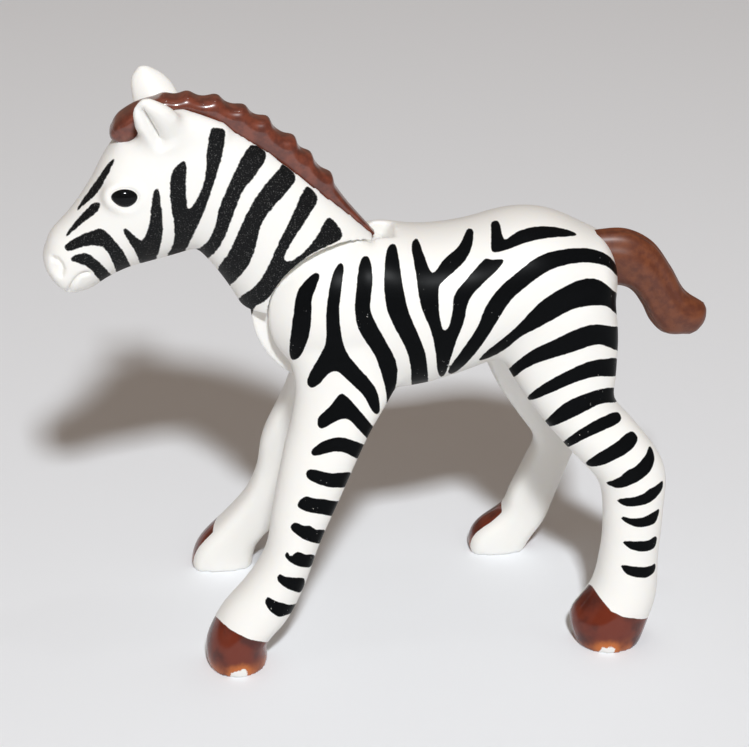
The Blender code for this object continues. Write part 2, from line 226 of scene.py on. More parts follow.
# %% Lofts and balls
def add_loft(mesh, ribs, sides=40, steps=8, domes=(0.0, 0.0), squareness=2.0, inner=None):
    """A closed skin over ribs: (front x, front z, back x, back z, y, half width).

    inner, for a leg, is the squareness and the share of the width of its side that
    faces the other leg.
    """
    frames = rib_frames(ribs, steps)
    first_out = (frames[0][0] - frames[1][0]).normalized()
    last_out = (frames[-1][0] - frames[-2][0]).normalized()
    if domes[0] > 0:
        frames = dome(frames[0], first_out, domes[0]) + frames
    if domes[1] > 0:
        frames = frames + dome(frames[-1], last_out, domes[1])[::-1]
    rings = []
    for centre, reach, width in frames:
        ring = []
        for k in range(sides):
            c, s = math.cos(math.tau * k / sides), math.sin(math.tau * k / sides)
            faces_in = inner and s * centre.y < 0
            power, share = (2 / inner[0], inner[1]) if faces_in else (2 / squareness, 1)
            along = math.copysign(abs(c) ** power, c)
            across = math.copysign(abs(s) ** power, s) * share
            ring.append(centre + reach * along + Vector((0, width * across, 0)))
        rings.append(ring)
    bridge_rings(mesh, rings)


def add_ball(mesh, centre, radii, tilt=0.0):
    """An ellipsoid, tilted in side view by an angle in degrees."""
    ball = bmesh.ops.create_uvsphere(mesh, u_segments=36, v_segments=24, radius=1.0)
    turn = math.radians(tilt)
    for vert in ball["verts"]:
        x, y, z = (vert.co[i] * radii[i] for i in range(3))
        vert.co = placed(
            centre[0] + x * math.cos(turn) - z * math.sin(turn),
            centre[1] + y,
            centre[2] + x * math.sin(turn) + z * math.cos(turn),
        )


def mirrored(ribs):
    """The same ribs on the other side of the foal."""
    return [(*rib[:4], -rib[4], rib[5]) for rib in ribs]


def new_piece(name, mesh):
    """A smooth object from a bmesh, its normals facing out."""
    bmesh.ops.recalc_face_normals(mesh, faces=mesh.faces)
    data = bpy.data.meshes.new(name)
    mesh.to_mesh(data)
    mesh.free()
    data.shade_smooth()
    piece = bpy.data.objects.new(name, data)
    bpy.context.scene.collection.objects.link(piece)
    return piece


print("lofts and balls are ready")

# %% [markdown]
# ## Fusing and cutting
# The lofts and balls of one moulding overlap, and the real toy shows no edge where a leg
# meets the trunk. Blender's voxel remesh melts them into one skin, and a few rounds of
# smoothing give the soft fillets of a mould. Slots are cut while the skin is still coarse;
# the finer remesh that follows then rounds their rims, as the toy's rims are rounded.

# %% Remesh, smooth and cut
def settle(piece):
    """Turns a piece's modifiers into its own mesh."""
    graph = bpy.context.evaluated_depsgraph_get()
    graph.update()
    settled = bpy.data.meshes.new_from_object(piece.evaluated_get(graph))
    worn = piece.data
    piece.modifiers.clear()
    piece.data = settled
    bpy.data.meshes.remove(worn)
    settled.shade_smooth()


def fuse(piece, voxel, smoothing):
    """Melts overlapping forms into one skin of voxel-sized faces, in millimetres."""
    remesh = piece.modifiers.new("fuse", "REMESH")
    remesh.mode = "VOXEL"
    remesh.voxel_size = voxel * MM
    soften = piece.modifiers.new("soften", "SMOOTH")
    soften.factor = 0.5
    soften.iterations = smoothing
    settle(piece)


def combine(piece, tool, operation):
    """Cuts or joins a tool shape with the exact solver, then clears the tool away."""
    step = piece.modifiers.new(operation, "BOOLEAN")
    step.operation = operation
    step.solver = "EXACT"
    step.object = tool
    settle(piece)
    bpy.data.objects.remove(tool)


def turned_slab(name, half_width, arcs, inner=0.0):
    """A slab across the foal about the neck's pivot, from arcs of (start, end, radius)."""
    outline = []
    for start, end, radius in arcs:
        count = max(2, round((end - start) / 3))
        for k in range(count + 1):
            angle = math.radians(start + (end - start) * k / count)
            outline.append((radius * math.cos(angle), radius * math.sin(angle)))
    if inner > 0:
        outline += [(x * inner / arcs[0][2], z * inner / arcs[0][2]) for x, z in outline[::-1]]
    mesh = bmesh.new()
    bridge_rings(mesh, [
        [(PIVOT.x + x, side, PIVOT.z + z) for x, z in outline] for side in (-half_width, half_width)
    ])
    return new_piece(name, mesh)


print("tools for one-piece mouldings are ready")

# %% [markdown]
# ## The trunk and legs
# One white moulding. The trunk is deep at the shoulder, dips behind the withers and rises
# over the rump. All four legs splay out. The front hooves step forward side by side, the
# hind legs stand apart: the left one back, the right one further under the belly. The
# sides that face the other leg are nearly flat, and show no paint.

# %% Ribs of the trunk and legs
TRUNK = [
    (-5.0, 47.2, -6.0, 31.6, 0, 6.4),
    (0.0, 48.7, -1.0, 29.6, 0, 7.9),
    (5.0, 48.0, 4.6, 30.0, 0, 8.3),
    (10.0, 48.3, 9.0, 31.2, 0, 8.2),
    (15.4, 49.5, 13.4, 32.8, 0, 8.2),
    (19.8, 49.1, 18.0, 33.6, 0, 8.0),
    (24.2, 47.0, 23.4, 34.6, 0, 6.7),
]
LEFT_FRONT_LEG = [
    (-10.2, 36.4, 3.0, 37.6, 3.9, 3.9),
    (-9.4, 32.0, 2.6, 33.4, 4.8, 3.8),
    (-9.9, 28.6, 0.9, 30.4, 6.0, 3.6),
    (-11.0, 25.0, -1.4, 26.8, 7.1, 3.3),
    (-12.5, 18.6, -4.9, 19.6, 8.7, 3.0),
    (-13.4, 14.0, -7.2, 14.7, 9.6, 2.9),
    (-15.7, 10.3, -9.0, 9.6, 10.1, 3.0),
    (-18.6, 6.9, -11.0, 5.6, 10.5, 3.3),
    (-20.4, 3.0, -13.4, 2.9, 10.7, 3.7),
    (-20.4, 0.4, -13.5, 0.2, 10.7, 3.7),
    (-20.0, -1.2, -13.8, -1.2, 10.7, 3.5),
]
RIGHT_FRONT_LEG = [
    (-10.2, 36.4, 3.0, 37.6, 3.9, 3.9),
    (-9.0, 32.0, 2.6, 33.4, 4.8, 3.8),
    (-9.1, 28.6, 0.9, 30.4, 6.0, 3.6),
    (-10.0, 25.0, -1.4, 26.8, 7.1, 3.3),
    (-12.4, 18.6, -4.9, 19.6, 8.7, 3.0),
    (-13.0, 14.0, -7.2, 14.7, 9.6, 2.9),
    (-14.3, 10.3, -9.0, 9.6, 10.1, 3.0),
    (-16.8, 6.9, -11.0, 5.6, 10.5, 3.3),
    (-20.3, 3.0, -13.2, 2.9, 10.7, 3.7),
    (-21.2, 0.4, -13.8, 0.2, 10.7, 3.7),
    (-20.9, -1.2, -14.0, -1.2, 10.7, 3.5),
]
LEFT_HIND_LEG = [
    (11.5, 38.5, 26.2, 42.0, 3.4, 4.8),
    (13.4, 34.6, 26.9, 36.6, 3.9, 4.7),
    (15.6, 30.6, 26.7, 32.0, 4.9, 4.4),
    (18.2, 27.0, 26.4, 28.9, 6.1, 3.9),
    (21.4, 23.2, 28.8, 26.2, 7.4, 3.3),
    (24.5, 19.6, 32.0, 21.4, 8.4, 3.1),
    (25.1, 15.2, 32.0, 16.2, 9.2, 2.95),
    (24.8, 10.8, 31.6, 10.6, 9.8, 2.95),
    (23.9, 6.9, 31.5, 5.8, 10.3, 3.25),
    (21.6, 3.4, 30.6, 2.6, 10.6, 3.7),
    (22.0, 0.4, 29.8, 0.2, 10.7, 3.7),
    (22.4, -1.2, 29.4, -1.2, 10.7, 3.5),
]
RIGHT_HIND_LEG = [
    (10.8, 38.5, 26.2, 42.0, 3.4, 4.8),
    (11.6, 34.0, 26.8, 36.2, 3.9, 4.7),
    (13.2, 29.6, 26.0, 31.2, 4.9, 4.4),
    (15.2, 25.0, 24.8, 26.6, 6.1, 3.9),
    (17.6, 20.8, 24.6, 22.2, 7.2, 3.3),
    (20.0, 16.4, 25.4, 17.0, 8.2, 3.1),
    (19.0, 12.4, 24.2, 12.0, 9.0, 2.95),
    (17.6, 8.6, 23.0, 7.6, 9.7, 2.95),
    (16.6, 5.4, 22.0, 4.2, 10.3, 3.25),
    (13.4, 2.6, 20.5, 1.8, 10.6, 3.7),
    (12.7, 0.4, 19.7, 0.2, 10.7, 3.7),
    (13.1, -1.2, 19.4, -1.2, 10.7, 3.5),
]
print("left hoof stands", LEFT_HIND_LEG[-2][0] - RIGHT_HIND_LEG[-2][0], "mm behind the right one")

# %% [markdown]
# The neck's tongue sits in a slot between two rounded shoulder cheeks, so the slot and the
# sweep of the neck's full width are cut out of the fused body, over arcs in degrees
# about the pivot. The seam on the toy is hair-fine, so the gap here is a third of the
# 0.3 mm that the solids keep. The slot is open at the withers, where the mane's tip
# comes down between the cheeks.

# %% Fuse and cut the body
SEAM = 0.1
INNER_SQUARENESS, INNER_SHARE = 4.0, 0.72
TONGUE_HALF = 1.8
CREST_END, THROAT_END, TONGUE_END, NECK_TILT = 66, 178, 250, 48
SLOT_SPARE, WITHERS_SPARE, WITHERS_TURN, THROAT_TURN = 7, 12, 100, 90
TONGUE_RADIUS = SHOULDER_RADIUS - 0.1
THROAT_RADIUS = SHOULDER_RADIUS + 1.85
WITHERS_RADIUS = SHOULDER_RADIUS + 3.4
CLEARED_RADIUS, CLEARED_HALF_WIDTH = 16.0, 9.5
SHOULDER_BALL = (SHOULDER_RADIUS + 1.6, 8.0, SHOULDER_RADIUS + 0.3)
COARSE_VOXEL, BODY_VOXEL, HEAD_VOXEL = 0.4, 0.29, 0.19

body_mesh = bmesh.new()
add_loft(body_mesh, TRUNK, domes=(3.0, 3.4), squareness=2.15)
add_ball(body_mesh, PIVOT, SHOULDER_BALL)
for ribs in (RIGHT_FRONT_LEG, mirrored(LEFT_FRONT_LEG), RIGHT_HIND_LEG, mirrored(LEFT_HIND_LEG)):
    add_loft(body_mesh, ribs, inner=(INNER_SQUARENESS, INNER_SHARE))
body = new_piece("zebra_body", body_mesh)
fuse(body, COARSE_VOXEL, smoothing=14)

slot_end = TONGUE_END + NECK_TILT + SLOT_SPARE
withers_start = CREST_END - WITHERS_SPARE
slot = [
    (slot_end - 360, withers_start, TONGUE_RADIUS + SEAM),
    (withers_start, WITHERS_TURN, WITHERS_RADIUS),
    (WITHERS_TURN, slot_end, THROAT_RADIUS + 2 * SEAM),
]
combine(body, turned_slab("slot", TONGUE_HALF + SEAM, slot), "DIFFERENCE")
swept = [(CREST_END, THROAT_END + NECK_TILT + 1, CLEARED_RADIUS)]
combine(body, turned_slab("sweep", CLEARED_HALF_WIDTH, swept, inner=SHOULDER_RADIUS + SEAM), "DIFFERENCE")
print("body cut to", len(body.data.vertices), "points")

# %% [markdown]
# The soles are cut flat where they stand, and the last fine remesh rounds every rim a
# little. Points within a hair of the floor are then set down on it, so the toy stands on
# four true soles.

# %% Finish the body's skin
FLOOR_TOUCH = 0.1
UNDER_FLOOR = ((-45, -30, -8), (45, 30, 0))


def add_block(mesh, low, high):
    """A box between two drawn corners."""
    block = bmesh.ops.create_cube(mesh, size=1.0)
    for vert in block["verts"]:
        vert.co = placed(*(low[i] if vert.co[i] < 0 else high[i] for i in range(3)))


def move_points(piece, moved):
    """Writes drawn points back to a piece's mesh."""
    places = (moved + (CENTRE_SHIFT, 0.0, 0.0)) * MM
    piece.data.vertices.foreach_set("co", places.ravel())
    piece.data.update()


under_floor = bmesh.new()
add_block(under_floor, *UNDER_FLOOR)
combine(body, new_piece("under floor", under_floor), "DIFFERENCE")
fuse(body, BODY_VOXEL, smoothing=7)
body_points = drawn_points(body.data)
body_points[body_points[:, 2] < FLOOR_TOUCH, 2] = 0.0
move_points(body, body_points)
print("body skin:", len(body.data.vertices), "points, soles at z = 0")

# %% [markdown]
# ## The head and neck
# A second white moulding: a tapering neck, a long head with a deep jaw and a small square
# muzzle, two fat pricked ears, a low mound under each eye and a pad behind each ear that
# carries the mane. Below the neck a narrower tongue goes down between the shoulder
# cheeks, where it turns on hidden trunnions.

# %% Ribs of the head and neck
NECK = [
    (-12.2, 34.0, 4.4, 45.0, 0, 4.6),
    (-14.2, 38.6, 0.3, 47.8, 0, 5.0),
    (-15.6, 41.6, -3.1, 51.4, 0, 5.0),
    (-17.6, 44.9, -8.0, 56.4, 0, 4.8),
    (-19.6, 47.4, -12.3, 59.9, 0, 4.6),
    (-22.0, 50.0, -16.5, 62.6, 0, 4.4),
    (-24.5, 54.0, -20.6, 63.7, 0, 4.1),
]
HEAD = [
    (-17.6, 60.4, -17.0, 48.6, 0, 3.6),
    (-21.6, 63.4, -18.8, 47.7, 0, 4.6),
    (-26.0, 62.2, -21.6, 46.9, 0, 4.9),
    (-28.8, 59.0, -24.2, 46.3, 0, 4.8),
    (-30.6, 55.7, -26.9, 45.6, 0, 4.3),
    (-32.9, 52.4, -29.2, 44.5, 0, 3.7),
    (-35.2, 49.9, -31.0, 43.3, 0, 3.4),
    (-35.9, 48.2, -32.5, 42.9, 0, 3.2),
]
EAR = [
    (-24.8, 59.4, -19.2, 60.4, 2.4, 1.8),
    (-25.4, 61.4, -19.8, 62.2, 3.0, 1.8),
    (-25.8, 63.6, -20.8, 64.2, 4.0, 1.5),
    (-25.9, 65.2, -22.0, 65.6, 4.7, 1.15),
    (-25.2, 66.3, -23.4, 66.4, 4.9, 0.7),
]
EYE_MOUND, EYE_MOUND_RADII, EYE_MOUND_TILT = (-27.1, 3.5, 55.3), (2.5, 1.5, 2.0), 10
POLL_PAD, POLL_PAD_RADII, POLL_PAD_TILT = (-18.9, 1.9, 62.0), (3.9, 1.9, 1.75), -22
print("the neck has", len(NECK), "ribs, the head", len(HEAD), "and an ear", len(EAR))

# %% Fuse and cut the head and neck
CREST_TRIM, END_PLAY = 0.5, 0.1

head_mesh = bmesh.new()
add_loft(head_mesh, NECK, squareness=2.1)
add_loft(head_mesh, HEAD, domes=(0, 1.6), squareness=2.1)
for side in (-1, 1):
    add_loft(head_mesh, mirrored(EAR) if side < 0 else EAR, domes=(0, 0.5))
    for (x, y, z), radii, tilt in (
        (EYE_MOUND, EYE_MOUND_RADII, EYE_MOUND_TILT),
        (POLL_PAD, POLL_PAD_RADII, POLL_PAD_TILT),
    ):
        add_ball(head_mesh, (x, y * side, z), radii, tilt)
head = new_piece("zebra_head_and_neck", head_mesh)
fuse(head, COARSE_VOXEL, smoothing=6)

neck_end = [
    (CREST_END + CREST_TRIM, THROAT_END, SHOULDER_RADIUS + SEAM + END_PLAY),
    (THROAT_END, CREST_END + CREST_TRIM + 360, CLEARED_RADIUS),
]
combine(head, turned_slab("neck end", CLEARED_HALF_WIDTH, neck_end), "DIFFERENCE")
tongue = [(TONGUE_END - 360, THROAT_TURN, TONGUE_RADIUS), (THROAT_TURN, TONGUE_END, THROAT_RADIUS)]
combine(head, turned_slab("tongue", TONGUE_HALF, tongue), "UNION")
print("head and neck cut to", len(head.data.vertices), "points")

# %% [markdown]
# ## The mane
# A soft brown plastic comb let into a groove along the crest. Its sides are smooth and
# flat, and its top edge is a row of round knobs, one for each curl of hair, that catch the
# light. It runs out to a point at the withers, and between the ears it becomes a forelock
# with a rounded end. It is drawn as a run of cross-sections along the crest.

# %% Draw the mane's cross-sections
MANE_RUN = [
    (-0.1, 48.0, 0.1, 0.35),
    (-3.4, 51.3, 0.6, 0.7),
    (-6.4, 54.5, 1.25, 1.0),
    (-10.4, 58.2, 1.65, 1.0),
    (-14.4, 61.1, 1.75, 1.0),
    (-18.0, 63.0, 1.35, 1.0),
    (-21.4, 63.8, 0.95, 1.0),
    (-24.4, 63.4, 0.95, 1.15),
    (-26.4, 62.1, 1.15, 1.3),
    (-27.2, 61.2, 1.05, 1.1),
]
MANE_HALF, MANE_DEPTH = 1.65, 1.3
KNOBS = [
    (-22.3, 0.35), (-20.2, 0.5), (-17.5, 0.6), (-15.1, 0.5),
    (-12.7, 0.6), (-10.0, 0.6), (-8.2, 0.45), (-5.9, 0.5),
]
KNOB_LENGTH, KNOB_SWELL = 0.78, 0.12
MANE_STEPS, MANE_SIDES, MANE_CORNER = 24, 24, 0.6
FORELOCK_DOME = 1.2


def mane_rows():
    """Rows along the mane: place, outward normal, height, thickness share, lift by the knobs."""
    rows = smooth_rows(MANE_RUN, MANE_STEPS)
    places = [Vector((row[0], 0, row[1])) for row in rows]
    crowns = [(min(places, key=lambda place: abs(place.x - x)), rise) for x, rise in KNOBS]
    made = []
    for i, row in enumerate(rows):
        along = (places[min(i + 1, len(rows) - 1)] - places[max(i - 1, 0)]).normalized()
        lift = sum(
            rise * math.exp(-(((places[i] - crown).length / KNOB_LENGTH) ** 2)) for crown, rise in crowns
        )
        made.append((places[i], Vector((along.z, 0, -along.x)), row[2], row[3], lift))
    return made


def mane_ring(place, outward, height, share, lift, squeeze=1.0):
    """One cross-section of the mane, flat at the sides and round on top."""
    half = MANE_HALF * share * squeeze
    ring = []
    for step in range(MANE_SIDES + 1):
        angle = math.pi * step / MANE_SIDES
        across = math.copysign(abs(math.cos(angle)) ** MANE_CORNER, math.cos(angle))
        up = math.sin(angle) ** MANE_CORNER
        swell = 1 + KNOB_SWELL * lift * up
        rise = height * squeeze * up + lift * up**3
        ring.append(place + outward * rise + Vector((0, half * across * swell, 0)))
    for across in (-1, 1):
        ring.append(place - outward * MANE_DEPTH * squeeze + Vector((0, half * across, 0)))
    return ring


def add_mane(mesh):
    """The whole mane, with a rounded forelock at its front end."""
    rows = mane_rows()
    rings = [mane_ring(*row) for row in rows]
    place, outward, height, share, lift = rows[-1]
    onward = (rows[-1][0] - rows[-2][0]).normalized()
    for angle in reversed(ROUNDING):
        tip = place + onward * FORELOCK_DOME * math.sin(angle)
        rings.append(mane_ring(tip, outward, height, share, lift, squeeze=math.cos(angle)))
    bridge_rings(mesh, rings)


mane_mesh = bmesh.new()
add_mane(mane_mesh)
mane = new_piece("zebra_mane", mane_mesh)
print("mane:", len(mane.data.vertices), "points,", len(KNOBS), "knobs")

# %% [markdown]
# The groove that holds the mane follows the same run, a hair wider and deeper, so that a
# fine dark line shows where brown meets white, as on the toy.

# %% Cut the mane's groove and finish the head's skin
GROOVE_PLAY, GROOVE_OPENING = 0.06, 2.5
PAST_TIP, PAST_BROW = 0.12, 0.1


def add_groove(mesh):
    """A bar along the mane's run, to be cut out of the crest."""
    rows = mane_rows()[::4]
    tip, brow = rows[0], rows[-1]
    past_tip = (tip[0] - (rows[1][0] - tip[0]).normalized() * PAST_TIP, *tip[1:])
    past_brow = (brow[0] + (brow[0] - rows[-2][0]).normalized() * PAST_BROW, *brow[1:])
    rings = []
    for place, outward, height, share, _ in [past_tip] + rows + [past_brow]:
        half, low, high = MANE_HALF * share + GROOVE_PLAY, -MANE_DEPTH - GROOVE_PLAY, height + GROOVE_OPENING
        profile = [(-half, low), (-half, high), (half, high), (half, low)]
        rings.append([place + outward * up + Vector((0, across, 0)) for across, up in profile])
    bridge_rings(mesh, rings)


groove_mesh = bmesh.new()
add_groove(groove_mesh)
combine(head, new_piece("groove", groove_mesh), "DIFFERENCE")
fuse(head, HEAD_VOXEL, smoothing=6)
print("head skin:", len(head.data.vertices), "points")

# %% [markdown]
# ## The tail
# A separate brown moulding, plugged into the rump: it leaves the body level, turns down and
# flicks out at the end. Long shallow flutes run along it like combed hair.

# %% Draw the tail
TAIL = [
    (22.6, 46.4, 24.5, 39.3, 0, 1.9),
    (25.1, 46.9, 27.0, 40.1, 0, 2.1),
    (28.3, 46.8, 28.9, 39.5, 0, 2.3),
    (31.3, 45.1, 30.3, 37.6, 0, 2.3),
    (33.5, 42.0, 31.4, 35.4, 0, 2.2),
    (35.2, 39.0, 33.0, 33.8, 0, 2.2),
    (37.1, 37.5, 35.2, 33.6, 0, 1.9),
]
FLUTES, FLUTE_DEPTH, FLUTE_TWIST = 7, 0.07, 1.2
TAIL_STEPS, TAIL_SIDES, TAIL_DOME = 14, 72, 1.5


def add_tail(mesh):
    """The tail over its ribs, with flutes that fade at both ends."""
    frames = rib_frames(TAIL, TAIL_STEPS)
    onward = (frames[-1][0] - frames[-2][0]).normalized()
    frames += dome(frames[-1], onward, TAIL_DOME)[::-1]
    rings = []
    for i, (centre, reach, width) in enumerate(frames):
        share = i / (len(frames) - 1)
        fade = math.sin(math.pi * min(1.0, share * 1.05)) ** 0.7
        ring = []
        for k in range(TAIL_SIDES):
            angle = math.tau * k / TAIL_SIDES
            wave = 0.5 + 0.5 * math.cos(FLUTES * angle + FLUTE_TWIST * share)
            flute = 1 - FLUTE_DEPTH * fade * wave**2
            along, across = math.cos(angle) * flute, math.sin(angle) * flute
            ring.append(centre + reach * along + Vector((0, width * across, 0)))
        rings.append(ring)
    bridge_rings(mesh, rings)


tail_mesh = bmesh.new()
add_tail(tail_mesh)
tail = new_piece("zebra_tail", tail_mesh)
print("tail:", len(tail.data.vertices), "points,", FLUTES, "flutes")

# %% [markdown]
# ## Reading the photo onto the skin
# The stripes are printed with soft pads pressed on from each side. To lay them where they
# are on the real toy, each stripe's outline was read off an enlarged part of the photo.
# Every reading is sent along the camera's sight line until it meets the skin made above. A
# point that just misses the skin takes its depth from the nearest edge of it.

# %% From a photo pixel to the skin
right_of_sight = Vector((math.cos(VIEW_AZIMUTH), -math.sin(VIEW_AZIMUTH), 0.0))
above_sight = right_of_sight.cross(sight)
LOOK_FROM, LOOK_TO, LOOK_STEP = 245.0, 310.0, 0.5
BODY_REACH, LEG_REACH, HEAD_REACH = 0.5, -3.5, 0.0
EYE_PIXEL = (124, 198)


def skin_of(piece):
    """A search tree of a piece's faces in drawn millimetres."""
    points = [Vector(p) for p in drawn_points(piece.data)]
    return BVHTree.FromPolygons(points, [face.vertices[:] for face in piece.data.polygons])


def touch(skin, x, y, reach):
    """The drawn point under a photo pixel, no farther than reach towards the far side."""
    ray = sight * focal_pixels + right_of_sight * (x - PHOTO_WIDTH / 2) + above_sight * (PHOTO_HEIGHT / 2 - y)
    ray.normalize()
    hit = skin.ray_cast(eye_point, ray)[0]
    if hit is not None and hit.y < reach:
        return hit
    along = [eye_point + ray * distance for distance in np.arange(LOOK_FROM, LOOK_TO, LOOK_STEP)]
    return min((point for point in along if point.y < reach), key=lambda point: skin.find_nearest(point)[3])


body_skin, head_skin = skin_of(body), skin_of(head)
print("the eye is at", [round(v, 1) for v in touch(head_skin, *EYE_PIXEL, HEAD_REACH)])

# %% [markdown]
# ## The stripes
# A tampon print leaves smooth shapes with rounded ends, wider where the pad is pressed
# hard. Each outline below is a closed curve through a few read points. The numbers are
# places in a view enlarged so many times, counted from the corner of that view.

# %% Outlines read off the barrel
BARREL_VIEW = (280, 210, 5)
BARREL = [
    [(165, 320), (185, 313), (198, 332), (182, 385), (160, 440), (157, 540), (145, 630), (110, 720),
     (70, 752), (47, 725), (50, 650), (66, 530), (80, 430), (105, 378), (135, 345)],
    [(285, 280), (300, 262), (320, 285), (308, 390), (296, 490), (300, 570), (313, 650), (335, 715),
     (390, 785), (450, 850), (487, 910), (500, 985), (490, 1022), (460, 1005), (420, 930), (370, 882),
     (315, 828), (280, 806), (240, 820), (195, 872), (155, 890), (133, 858), (160, 795), (215, 700),
     (232, 640), (230, 540), (240, 430), (262, 325)],
    [(405, 245), (425, 230), (448, 240), (463, 320), (460, 400), (450, 485), (475, 560), (535, 665),
     (578, 750), (588, 820), (572, 910), (545, 990), (535, 980), (530, 910), (508, 820), (470, 718),
     (400, 615), (373, 510), (384, 370), (392, 300)],
    [(540, 185), (560, 168), (582, 182), (600, 280), (618, 400), (645, 515), (695, 630), (732, 735),
     (740, 850), (738, 885), (662, 895), (655, 800), (635, 705), (580, 600), (535, 500), (520, 380),
     (526, 250)],
    [(662, 160), (680, 142), (695, 155), (725, 240), (758, 315), (785, 295), (820, 245), (895, 180),
     (932, 100), (950, 92), (968, 108), (960, 185), (925, 255), (860, 318), (803, 368), (793, 410),
     (796, 510), (810, 588), (827, 602), (848, 575), (864, 500), (870, 425), (925, 355), (1000, 268),
     (1030, 240), (1060, 250), (1118, 245), (1105, 280), (1040, 345), (965, 420), (935, 480), (920, 560),
     (880, 660), (845, 770), (825, 822), (800, 835), (785, 790), (777, 700), (750, 590), (708, 495),
     (690, 400), (675, 290), (658, 200)],
]
HAUNCH_VIEW = (430, 210, 5)
HAUNCH = [
    [(305, 65), (325, 52), (347, 60), (362, 128), (380, 148), (440, 105), (550, 80), (670, 92),
     (738, 122), (700, 132), (590, 140), (480, 162), (400, 195), (330, 212), (305, 200), (306, 120)],
    [(945, 335), (928, 325), (890, 285), (800, 262), (690, 272), (590, 305), (490, 375), (400, 455),
     (340, 550), (270, 660), (190, 760), (112, 820), (90, 800), (160, 700), (235, 590), (280, 480),
     (350, 385), (450, 300), (540, 232), (650, 198), (790, 190), (890, 225), (940, 295)],
    [(925, 412), (970, 450), (970, 545), (920, 512), (870, 476), (740, 488), (650, 528), (550, 585),
     (450, 635), (380, 695), (290, 742), (240, 752), (290, 700), (390, 622), (470, 545), (550, 460),
     (650, 395), (750, 348), (830, 343), (885, 375)],
    [(380, 812), (440, 752), (525, 692), (620, 650), (720, 600), (825, 570), (910, 583), (955, 590),
     (955, 700), (905, 692), (840, 670), (740, 702), (640, 732), (545, 762), (465, 800), (418, 838)],
    [(485, 938), (530, 895), (610, 845), (700, 798), (800, 755), (895, 742), (940, 745), (940, 830),
     (850, 830), (760, 850), (660, 890), (580, 925), (505, 952)],
    [(570, 1060), (620, 1010), (680, 960), (760, 925), (850, 895), (935, 890), (940, 960), (860, 965),
     (790, 1000), (690, 1050), (610, 1082), (578, 1078)],
    [(660, 1165), (730, 1110), (830, 1050), (920, 1010), (948, 1018), (955, 1052), (905, 1085),
     (790, 1135), (700, 1182), (675, 1185)],
]
print(len(BARREL) + len(HAUNCH), "stripes read off the trunk")

# %% Outlines read off the legs
HIND_LEG_VIEW = (560, 420, 4)
HIND_LEG_PRINT = [
    [(102, 172), (120, 155), (156, 131), (193, 110), (229, 85), (256, 60), (271, 51), (285, 46),
     (297, 49), (306, 60), (311, 72), (308, 87), (301, 100), (290, 114), (258, 140), (220, 158),
     (183, 177), (145, 186), (122, 185), (107, 180)],
    [(180, 251), (212, 241), (229, 233), (246, 222), (262, 208), (279, 197), (294, 191), (308, 180),
     (323, 164), (338, 145), (346, 131), (352, 114), (358, 104), (366, 112), (373, 127), (378, 148),
     (376, 171), (370, 187), (361, 204), (346, 221), (308, 248), (262, 268), (239, 272), (218, 270),
     (201, 264), (189, 257)],
    [(226, 319), (245, 314), (277, 311), (304, 306), (325, 299), (342, 290), (354, 278), (371, 269),
     (388, 260), (400, 249), (410, 240), (413, 252), (411, 267), (404, 286), (392, 302), (373, 321),
     (354, 332), (334, 340), (311, 345), (287, 347), (266, 345), (248, 339), (236, 331)],
    [(240, 386), (256, 387), (272, 391), (291, 394), (311, 393), (329, 390), (346, 383), (362, 376),
     (376, 367), (387, 359), (397, 355), (396, 370), (392, 386), (387, 400), (380, 411), (370, 418),
     (354, 424), (336, 428), (317, 429), (299, 426), (280, 420), (264, 411), (252, 402), (244, 393)],
    [(247, 482), (262, 484), (282, 485), (303, 486), (323, 485), (342, 483), (356, 480), (368, 473),
     (380, 464), (387, 468), (387, 482), (384, 496), (379, 508), (370, 517), (356, 523), (340, 526),
     (323, 527), (307, 524), (291, 520), (274, 512), (260, 501), (252, 492)],
    [(243, 580), (262, 580), (278, 584), (299, 586), (319, 588), (340, 588), (356, 585), (368, 581),
     (379, 573), (383, 586), (379, 602), (368, 617), (345, 631), (315, 631), (285, 625), (266, 616),
     (256, 606), (248, 594)],
]
FRONT_LEG_VIEW = (250, 390, 4)
FRONT_LEG_PRINT = [
    [(270, 125), (278, 102), (320, 65), (355, 20), (378, 17), (420, 60), (475, 125), (508, 172),
     (480, 202), (440, 165), (388, 113), (340, 128), (290, 155), (272, 145)],
    [(245, 255), (250, 235), (295, 203), (360, 187), (430, 208), (467, 228), (442, 278), (390, 255),
     (340, 245), (265, 264)],
    [(223, 336), (228, 324), (237, 317), (267, 320), (318, 333), (365, 331), (407, 330), (397, 384),
     (368, 390), (329, 390), (287, 382), (258, 370), (236, 358), (227, 348)],
    [(188, 462), (197, 442), (216, 428), (233, 425), (259, 434), (300, 436), (326, 443), (365, 449),
     (350, 500), (315, 503), (287, 497), (253, 493), (228, 487), (205, 477), (193, 469)],
    [(161, 550), (169, 535), (183, 530), (200, 536), (217, 543), (239, 542), (251, 550), (268, 559),
     (305, 561), (292, 612), (256, 611), (233, 605), (205, 592), (186, 578), (171, 564)],
    [(140, 659), (146, 648), (153, 650), (157, 661), (165, 665), (175, 657), (185, 648), (203, 650),
     (224, 658), (262, 660), (246, 706), (216, 709), (193, 705), (170, 695), (152, 681), (143, 670)],
    [(108, 753), (112, 740), (121, 736), (134, 743), (150, 748), (180, 750), (222, 755), (206, 808),
     (182, 807), (161, 800), (138, 789), (122, 776), (112, 764)],
    [(61, 850), (65, 833), (73, 828), (90, 837), (111, 847), (131, 851), (150, 858), (164, 858),
     (195, 856), (178, 885), (154, 897), (127, 907), (108, 904), (90, 893), (76, 879), (67, 865)],
]
FRONT_HOOF_TOP = [(219, 619), (231, 630), (249, 639), (267, 642)]
HIND_HOOF_TOP = [(592, 586), (601, 599), (611, 611), (623, 617), (642, 619)]
BARE_SPOTS = [(236, 676), (243, 674), (603, 652), (610, 651)]
BARE_REACH = 0.55
print(len(HIND_LEG_PRINT) + len(FRONT_LEG_PRINT), "stripes read off the legs")

